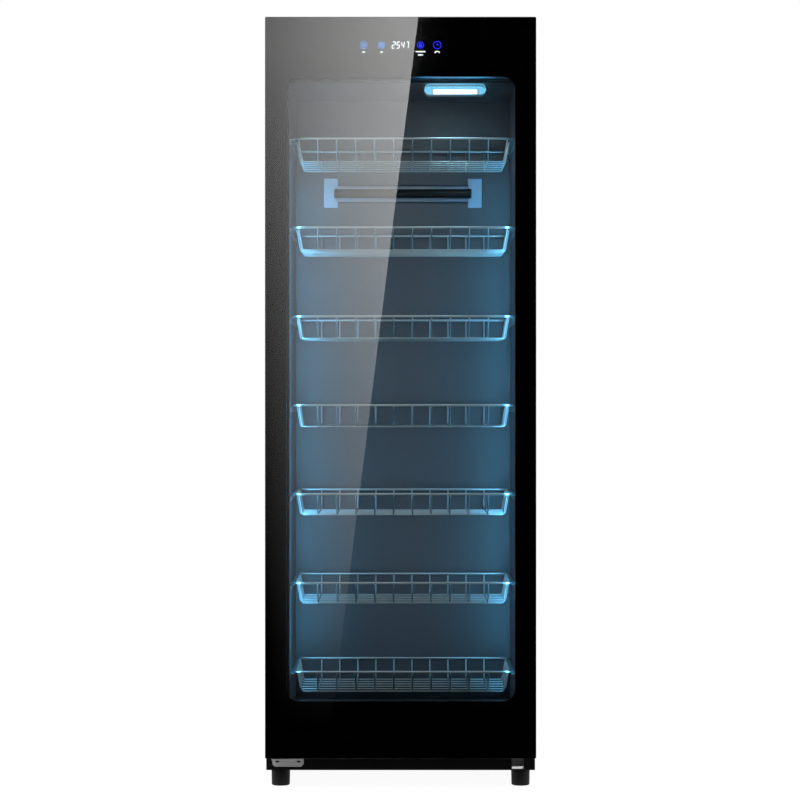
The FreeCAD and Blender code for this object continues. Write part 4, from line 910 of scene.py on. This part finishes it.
basketTree = growTree("wireBasket", {
    "Rim Path": "NodeSocketObject", "Long Path": "NodeSocketObject",
    "Cross Path": "NodeSocketObject", "Front Path": "NodeSocketObject",
    "Rim Radius": "NodeSocketFloat", "Wire Radius": "NodeSocketFloat",
    "Corner": "NodeSocketFloat", "Bend": "NodeSocketFloat",
    "Long Count": "NodeSocketInt", "Long First": "NodeSocketVector", "Long Step": "NodeSocketVector",
    "Cross Count": "NodeSocketInt", "Cross First": "NodeSocketVector", "Cross Step": "NodeSocketVector",
    "Place": "NodeSocketVector", "Material": "NodeSocketMaterial",
}, basketBuild)

wide, deep, floorZ, tuck = basket["halfWidth"], basket["depth"], basket["floor"], basket["tuck"]


def crossPoints(top, bottom, y):
    # a cross wire lies under the long wires and hangs on the rim at both sides
    lowZ = floorZ - 2 * basket["wireRadius"]
    return [(-top, y, tuck), (-bottom, y, lowZ), (bottom, y, lowZ), (top, y, tuck)]


helpers = {
    "Rim Path": pathHelper("rimPath", [(-wide, 0, 0), (wide, 0, 0), (wide, deep, 0), (-wide, deep, 0)], True),
    "Long Path": pathHelper("longPath", [
        (0, 0, -tuck), (0, 0, -basket["straight"]), (0, basket["frontSlope"], floorZ),
        (0, deep - basket["backSlope"], floorZ), (0, deep, -tuck),
    ]),
    "Cross Path": pathHelper("crossPath", crossPoints(basket["sideTop"], basket["sideBottom"], 0)),
    "Front Path": pathHelper("frontPath", crossPoints(
        basket["frontTop"], basket["frontBottom"], basket["crossFirst"],
    )),
}
for number in range(1, rails["count"] + 1):
    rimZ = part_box(f"basket_{number}")[1][2] - basket["rimRadius"]
    piece = grow(f"wireBasket{number}", pointMesh(f"wireBasket{number}", []), basketTree, {
        **helpers,
        "Rim Radius": basket["rimRadius"], "Wire Radius": basket["wireRadius"],
        "Corner": basket["corner"], "Bend": basket["bend"],
        "Long Count": basket["longCount"],
        "Long First": (-basket["longPitch"] * (basket["longCount"] - 1) / 2, 0, 0),
        "Long Step": (basket["longPitch"], 0, 0),
        "Cross Count": basket["crossCount"] - 1,
        "Cross First": (0, basket["crossFirst"] + basket["crossPitch"], 0),
        "Cross Step": (0, basket["crossPitch"], 0),
        "Place": (basket["centre"], basket["front"], rimZ),
        "Material": wireChrome,
    })
    seat(piece, f"basket_{number}", "wire_chrome", f"basket_{number}")
for helper in helpers.values():
    bpy.data.objects.remove(helper)
print("baskets done")


# lamp under the ceiling
lamp = {
    "wall": 1.5 * mm, "floorWall": 2 * mm, "lip": 0.5 * mm, "endGap": 0.01 * mm, "endSteps": 20, "steps": 40,
    "unlit": ((0.20, 0.32, 0.36), (0.24, 0.36, 0.40)), "rough": 0.35,
    "glow": (0.16, 0.60, 0.90), "glowStrength": 0.85, "glowLeast": 0.03, "fade": 5 * mm,
    "frontLayer": 0.6 * mm, "facing": -0.3,  # the front rim shines, and what looks no further down than this
    "capLength": 5 * mm, "capInset": 0.4, "tubeInset": 0.4 * mm, "capEdge": 0.6 * mm, "capEnd": 0.5 * mm,
}
low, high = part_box("lamp_housing")


def lampPaintedGlow(start):
    # white enamel with the tube's light painted on as a glow: bright in front and inside, fading towards the lower
    # edge
    rise = limited(start, (placeAlong(start, "Z") - low[2]) / lamp["fade"])
    front = start.calc("LESS_THAN", placeAlong(start, "Y"), low[1] + lamp["frontLayer"])
    normal = start.make("ShaderNodeNewGeometry", output="Normal")
    facing = start.make("ShaderNodeSeparateXYZ", values={0: normal}, output="Z")
    shown = start.calc("MAXIMUM", front, start.calc("GREATER_THAN", facing, lamp["facing"]))
    return {
        "Base Color": between(noise(start, lamplight["scale"], 2), *lamp["unlit"]),
        "Emission Color": between(shown * rise, shade(lamp["glow"], lamp["glowLeast"]), lamp["glow"]),
    }


lampEnamel = surface("lampEnamel", {
    "Roughness": lamp["rough"], "Emission Strength": lamp["glowStrength"],
}, lampPaintedGlow)
radius = (high[2] - low[2]) / 2
shape = bmesh.new()


def pill(inset):
    # the housing's outline with its round ends, drawn in by the inset
    return roundedRectangle(
        low[0] + inset, high[0] - inset, low[2] + inset, high[2] - inset,
        radius - inset - lamp["endGap"], lamp["endSteps"],
    )


lip, wall = lamp["lip"], lamp["wall"]
rings = [
    (0, high[1]), (0, low[1] + lip), (lip * 0.3, low[1] + lip * 0.3), (lip, low[1]),
    (wall - lip * 0.2, low[1]), (wall, low[1] + lip * 0.6), (wall, high[1] - lamp["floorWall"]),
]
loops = [[shape.verts.new((x, y, z)) for x, z in pill(inset)] for inset, y in rings]
for first, second in zip(loops, loops[1:]):
    for here in range(len(first)):
        there = (here + 1) % len(first)
        shape.faces.new((first[here], first[there], second[there], second[here]))
shape.faces.new(loops[0])
shape.faces.new(loops[-1])
finishShape(shape, "lampHousing", lampEnamel, "cabinet", "lamp_white", "lamp_housing")


def tubeSpan(node):
    # radius, axis and ends of a round node that lies along X
    low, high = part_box(node)
    return (high[2] - low[2]) / 2, (0, (low[1] + high[1]) / 2, (low[2] + high[2]) / 2), low[0], high[0]


radius, centre, left, right = tubeSpan("lamp_tube")
cap, thin = lamp["capLength"], radius - lamp["tubeInset"]
tubeLeft, tubeRight = left + cap * lamp["capInset"], right - cap * lamp["capInset"]
shape = bmesh.new()
addLathe(shape, centre, [
    (0, tubeLeft), (thin, tubeLeft), (thin, tubeRight), (0, tubeRight),
], "x", lamp["steps"])
finishShape(shape, "lampTube", tubeGlow, "cabinet", "lamp_glass", "lamp_tube")
shape = bmesh.new()
edge, end = lamp["capEdge"], lamp["capEnd"]
for first, last in ((left, left + cap), (right - cap, right)):
    addLathe(shape, centre, [
        (0, first), (radius - edge, first), (radius, first + edge),
        (radius, last - end), (radius - end, last), (0, last),
    ], "x", lamp["steps"])
finishShape(shape, "lampCaps", lampCapPaintedGlow, "cabinet", "lamp_white")
print("lamp done")


# heater on the back wall
heater = {
    "reflectorEdge": 0.3 * mm, "tabEdge": 0.4 * mm, "steps": 48,
    "half": (  # share of the radius and distance from the end
        (0, 0), (0.9, 0), (1, 1 * mm), (1, 9 * mm), (0.93, 9.6 * mm),
    ),
}
soften("heater_reflector", "heaterReflector", reflectorSheet, "cabinet", "reflector_metal", heater["reflectorEdge"])
soften("heater_brackets", "heaterTabs", tabSteel, "cabinet", "bracket_steel", heater["tabEdge"])
radius, centre, left, right = tubeSpan("heater_tube")
profile = [(radius * share, left + along) for share, along in heater["half"]]
profile += [(radius * share, right - along) for share, along in reversed(heater["half"])]
shape = bmesh.new()
addLathe(shape, centre, profile, "x", heater["steps"])
finishShape(shape, "heaterTube", quartzDark, "cabinet", "quartz_dark", "heater_tube")
print("heater done")


# door
door = {
    "glassEdge": 0.6 * mm, "glassGap": 0.15 * mm, "corner": 2.5 * mm, "cornerSteps": 6,
    "levelWithin": 0.001 * mm, "rimAngle": 60,
    "printInset": 0.3 * mm, "printFront": 0.12 * mm, "printBack": 0.05 * mm, "windowRadius": 26 * mm,
    "windowSteps": 12, "frameEdge": 0.4 * mm, "sealEdge": 0.6 * mm,
}
low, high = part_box("door_glass")
shape = bmesh.new()
outline = roundedRectangle(low[0], high[0], low[2], high[2], door["corner"], door["cornerSteps"])
addSlab(shape, outline, low[1], high[1] - door["glassGap"])
outward(shape)
rimEdges = [  # around the front and the back face
    edge for edge in shape.edges
    if abs(edge.verts[0].co.y - edge.verts[1].co.y) < door["levelWithin"]
    and edge.calc_face_angle() > math.radians(door["rimAngle"])
]
bevelEdges(shape, rimEdges, door["glassEdge"], 3)
finishPiece(linkMesh("frontPane", meshFrom(shape, "frontPane")), frontGlass, "door", "front_glass", "door_glass")

low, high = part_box("glass_border")
windowLow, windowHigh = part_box("door_rail_bottom")[1][2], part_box("door_rail_top")[0][2]
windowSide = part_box("door_rail_top")[1][0]
inset, steps = door["printInset"], door["windowSteps"]
shape = bmesh.new()
addSlab(
    shape, roundedRectangle(low[0] + inset, high[0] - inset, low[2] + inset, high[2] - inset, door["corner"], steps),
    low[1] + door["printFront"], high[1] - door["printBack"],
    roundedRectangle(-windowSide, windowSide, windowLow, windowHigh, door["windowRadius"], steps),
)
finishShape(shape, "blackBorder", printBlack, "door", "border_black", "glass_border")

for node, name, material in (
    ("door_stile_left", "stileLeft", anodisedBlack), ("door_stile_right", "stileRight", anodisedBlack),
    ("door_rail_top", "railTop", anodisedAcross), ("door_rail_bottom", "railBottom", anodisedAcross),
):
    soften(node, name, material, "door", "frame_black", door["frameEdge"])
dress("inner_glass", paneGlass)
soften("door_gasket", "doorSeal", sealRubber, "door", "seal_black", door["sealEdge"])
dress("door_magnet", magnetGrey)
dress("touch_board", boardGreen)
dress("display_module", plasticBlack)
print("door done")


# lit symbols, printed on the back of the glass
panel = {
    "front": -211.05 * mm, "back": -210.92 * mm, "height": 1539.0 * mm,
    "icons": (-76.5 * mm, -39.5 * mm, 41.0 * mm, 75.5 * mm),
    "iconRadius": (7.6 * mm, 7.0 * mm, 7.0 * mm, 8.2 * mm), "ring": 0.8 * mm, "glyph": 0.9 * mm,
    "ringSteps": 40, "dotSteps": 20,
}


def addFlat(shape, points, inner=None):
    addSlab(shape, points, panel["front"], panel["back"], inner)


def addBar(shape, x1, z1, x2, z2, width):
    along = Vector((x2 - x1, z2 - z1)).normalized() * width / 2
    side = Vector((-along.y, along.x))
    ends = (Vector((x1, z1)) - side, Vector((x2, z2)) - side, Vector((x2, z2)) + side, Vector((x1, z1)) + side)
    addFlat(shape, [tuple(point) for point in ends])


def addRing(shape, x, z, radius, width):
    steps = panel["ringSteps"]
    addFlat(shape, circlePoints(x, z, radius, steps), circlePoints(x, z, radius - width, steps))


centreZ = panel["height"]
first, second, third, fourth = panel["icons"]
stroke = panel["glyph"]
paleIcons, blueIcons = bmesh.new(), bmesh.new()
for shape, x, radius in zip((paleIcons, paleIcons, blueIcons, blueIcons), panel["icons"], panel["iconRadius"]):
    addRing(shape, x, centreZ, radius, panel["ring"])

# a dot with rays
sun = {"dot": 2.0 * mm, "rays": 8, "inner": 3.2 * mm, "outer": 5.2 * mm}
addFlat(paleIcons, circlePoints(first, centreZ, sun["dot"], panel["dotSteps"]))
inner = circlePoints(first, centreZ, sun["inner"], sun["rays"])
outer = circlePoints(first, centreZ, sun["outer"], sun["rays"])
for begin, end in zip(inner, outer):
    addBar(paleIcons, *begin, *end, stroke)

# three waves of warm air
wave = {"start": -4.2 * mm, "step": 1.4 * mm, "count": 6, "swing": 0.6 * mm, "pitch": 2.9 * mm}
for row in (-1, 0, 1):
    for step in range(wave["count"]):
        x1 = second + wave["start"] + wave["step"] * step
        z1 = centreZ + row * wave["pitch"]
        swing = wave["swing"] * (-1) ** step
        addBar(paleIcons, x1, z1 + swing, x1 + wave["step"], z1 - swing, stroke)

# closed padlock
padlock = {"half": 2.9 * mm, "low": -3.8 * mm, "high": 0.4 * mm, "shackle": 1.4 * mm, "shackleRadius": 2.5 * mm}
sides = (third - padlock["half"], third + padlock["half"])
low, high = centreZ + padlock["low"], centreZ + padlock["high"]
addFlat(blueIcons, [(sides[0], low), (sides[1], low), (sides[1], high), (sides[0], high)])
addRing(blueIcons, third, centreZ + padlock["shackle"], padlock["shackleRadius"], stroke)

# clock hands
hands = {"up": 4.6 * mm, "across": 3.4 * mm, "past": 0.4 * mm}
addBar(blueIcons, fourth, centreZ - hands["past"], fourth, centreZ + hands["up"], stroke)
addBar(blueIcons, fourth - hands["past"], centreZ, fourth + hands["across"], centreZ, stroke)
finishShape(paleIcons, "panelSymbolsPale", iconPale, "door", "display_face")
finishShape(blueIcons, "panelSymbolsBlue", iconBlue, "door", "display_face")

# four plain digits of seven segments, each from one corner to the next: across and up
segments = {
    "top": ((0, 1), (1, 1)), "middle": ((0, 0.5), (1, 0.5)), "bottom": ((0, 0), (1, 0)),
    "upperLeft": ((0, 0.5), (0, 1)), "lowerLeft": ((0, 0), (0, 0.5)),
    "upperRight": ((1, 0.5), (1, 1)), "lowerRight": ((1, 0), (1, 0.5)),
}
digitShapes = {
    "2": ("top", "upperRight", "middle", "lowerLeft", "bottom"),
    "4": ("upperLeft", "middle", "upperRight", "lowerRight"),
    "7": ("top", "upperRight", "lowerRight"),
    "5": ("top", "upperLeft", "middle", "lowerRight", "bottom"),
}
digitFace = {
    "shown": "2547", "width": 6.4 * mm, "height": 14.0 * mm, "pitch": 9.4 * mm, "start": -17.2 * mm,
    "stroke": 0.9 * mm, "slant": 0.16, "gapAcross": 0.08, "gapUp": 0.10,
}
digits = bmesh.new()
for place, digit in enumerate(digitFace["shown"]):
    for segment in digitShapes[digit]:
        (u1, v1), (u2, v2) = segments[segment]
        gapU, gapV = digitFace["gapAcross"] * (u2 - u1), digitFace["gapUp"] * (v2 - v1)
        corners = []
        for u, v in ((u1 + gapU, v1 + gapV), (u2 - gapU, v2 - gapV)):
            rise = (v - 0.5) * (digitFace["height"] - digitFace["stroke"])
            x = digitFace["start"] + place * digitFace["pitch"] + u * (digitFace["width"] - digitFace["stroke"])
            corners += [x + rise * digitFace["slant"], centreZ + rise]
        addBar(digits, *corners, digitFace["stroke"])
finishShape(digits, "panelDigits", digitWhite, "door", "display_face")

# plain marks under the symbols
mark = {
    "bars": (  # middle, width, drop below the symbols
        (first, 5 * mm, 14.3 * mm), (second, 5 * mm, 14.3 * mm),
        (third, 20 * mm, 13.6 * mm), (third, 10 * mm, 20.3 * mm),
    ),
    "thick": 2.6 * mm,
    "arcDrop": 18.0 * mm, "arcRadius": 5.2 * mm, "arcStart": 20, "arcStep": 24, "arcCount": 6, "arcThick": 2.2 * mm,
}
marks = bmesh.new()
for centreX, width, drop in mark["bars"]:
    addBar(marks, centreX - width / 2, centreZ - drop, centreX + width / 2, centreZ - drop, mark["thick"])
arc = circlePoints(
    fourth, centreZ - mark["arcDrop"], mark["arcRadius"], mark["arcCount"] + 1,
    mark["arcStart"], mark["arcStep"] * mark["arcCount"],
)
for begin, end in zip(arc, arc[1:]):
    addBar(marks, *begin, *end, mark["arcThick"])
finishShape(marks, "panelMarks", labelWhite, "door", "display_face")
print("touch panel done")


# light inside the cabinet
inside = {"middle": 0.005, "target": 0.1}
sideGlow = {
    "colour": (0.13, 0.57, 1.0), "power": 2.2, "width": 12 * mm, "low": 0.235, "high": 1.30,
    "inset": 12 * mm, "depth": -0.150, "aim": 0.06,
}
frontGlow = {"colour": (1.0, 0.60, 0.40), "power": 1.0, "width": 0.22, "low": 0.22, "high": 1.46, "depth": -0.160}
glint = {"colour": (0.80, 0.95, 1.0), "power": 0.36, "width": 0.42, "low": 0.22, "high": 1.46, "depth": -0.162}
lampBeam = {
    "colour": (0.42, 0.80, 1.0), "power": 0.30, "width": 0.1, "height": 12 * mm,
    "place": (0.114, -0.137, 1.438), "target": (0.09, -0.10, 1.0),
}
railBeam = {
    "colour": (0.08, 0.52, 1.0), "power": 3.2, "width": 0.15, "height": 10 * mm,
    "place": (0.114, -0.202, 1.457), "target": (0.114, -0.198, 1.473),
}


def uprightLight(name, settings, x, aim=0.0, glossy=True):
    # a tall strip behind the door that shines to the back
    middle, tall = (settings["low"] + settings["high"]) / 2, settings["high"] - settings["low"]
    place, target = (x, settings["depth"], middle), (x + aim, inside["target"], middle)
    return areaLight(name, place, target, settings["width"], tall, settings["power"], settings["colour"], glossy)


def beam(name, settings):
    # a small light at the lamp
    areaLight(
        name, settings["place"], settings["target"], settings["width"], settings["height"],
        settings["power"], settings["colour"], True,
    )


low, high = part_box("liner_back")
uprightLight("glowLeft", sideGlow, low[0] + sideGlow["inset"], sideGlow["aim"])
uprightLight("glowRight", sideGlow, high[0] - sideGlow["inset"], -sideGlow["aim"])
uprightLight("glowFront", frontGlow, inside["middle"], glossy=False)
uprightLight("glowGlint", glint, inside["middle"]).visible_diffuse = False  # only glints on the wires
beam("glowLamp", lampBeam)
beam("glowRail", railBeam)
print("inner light done")
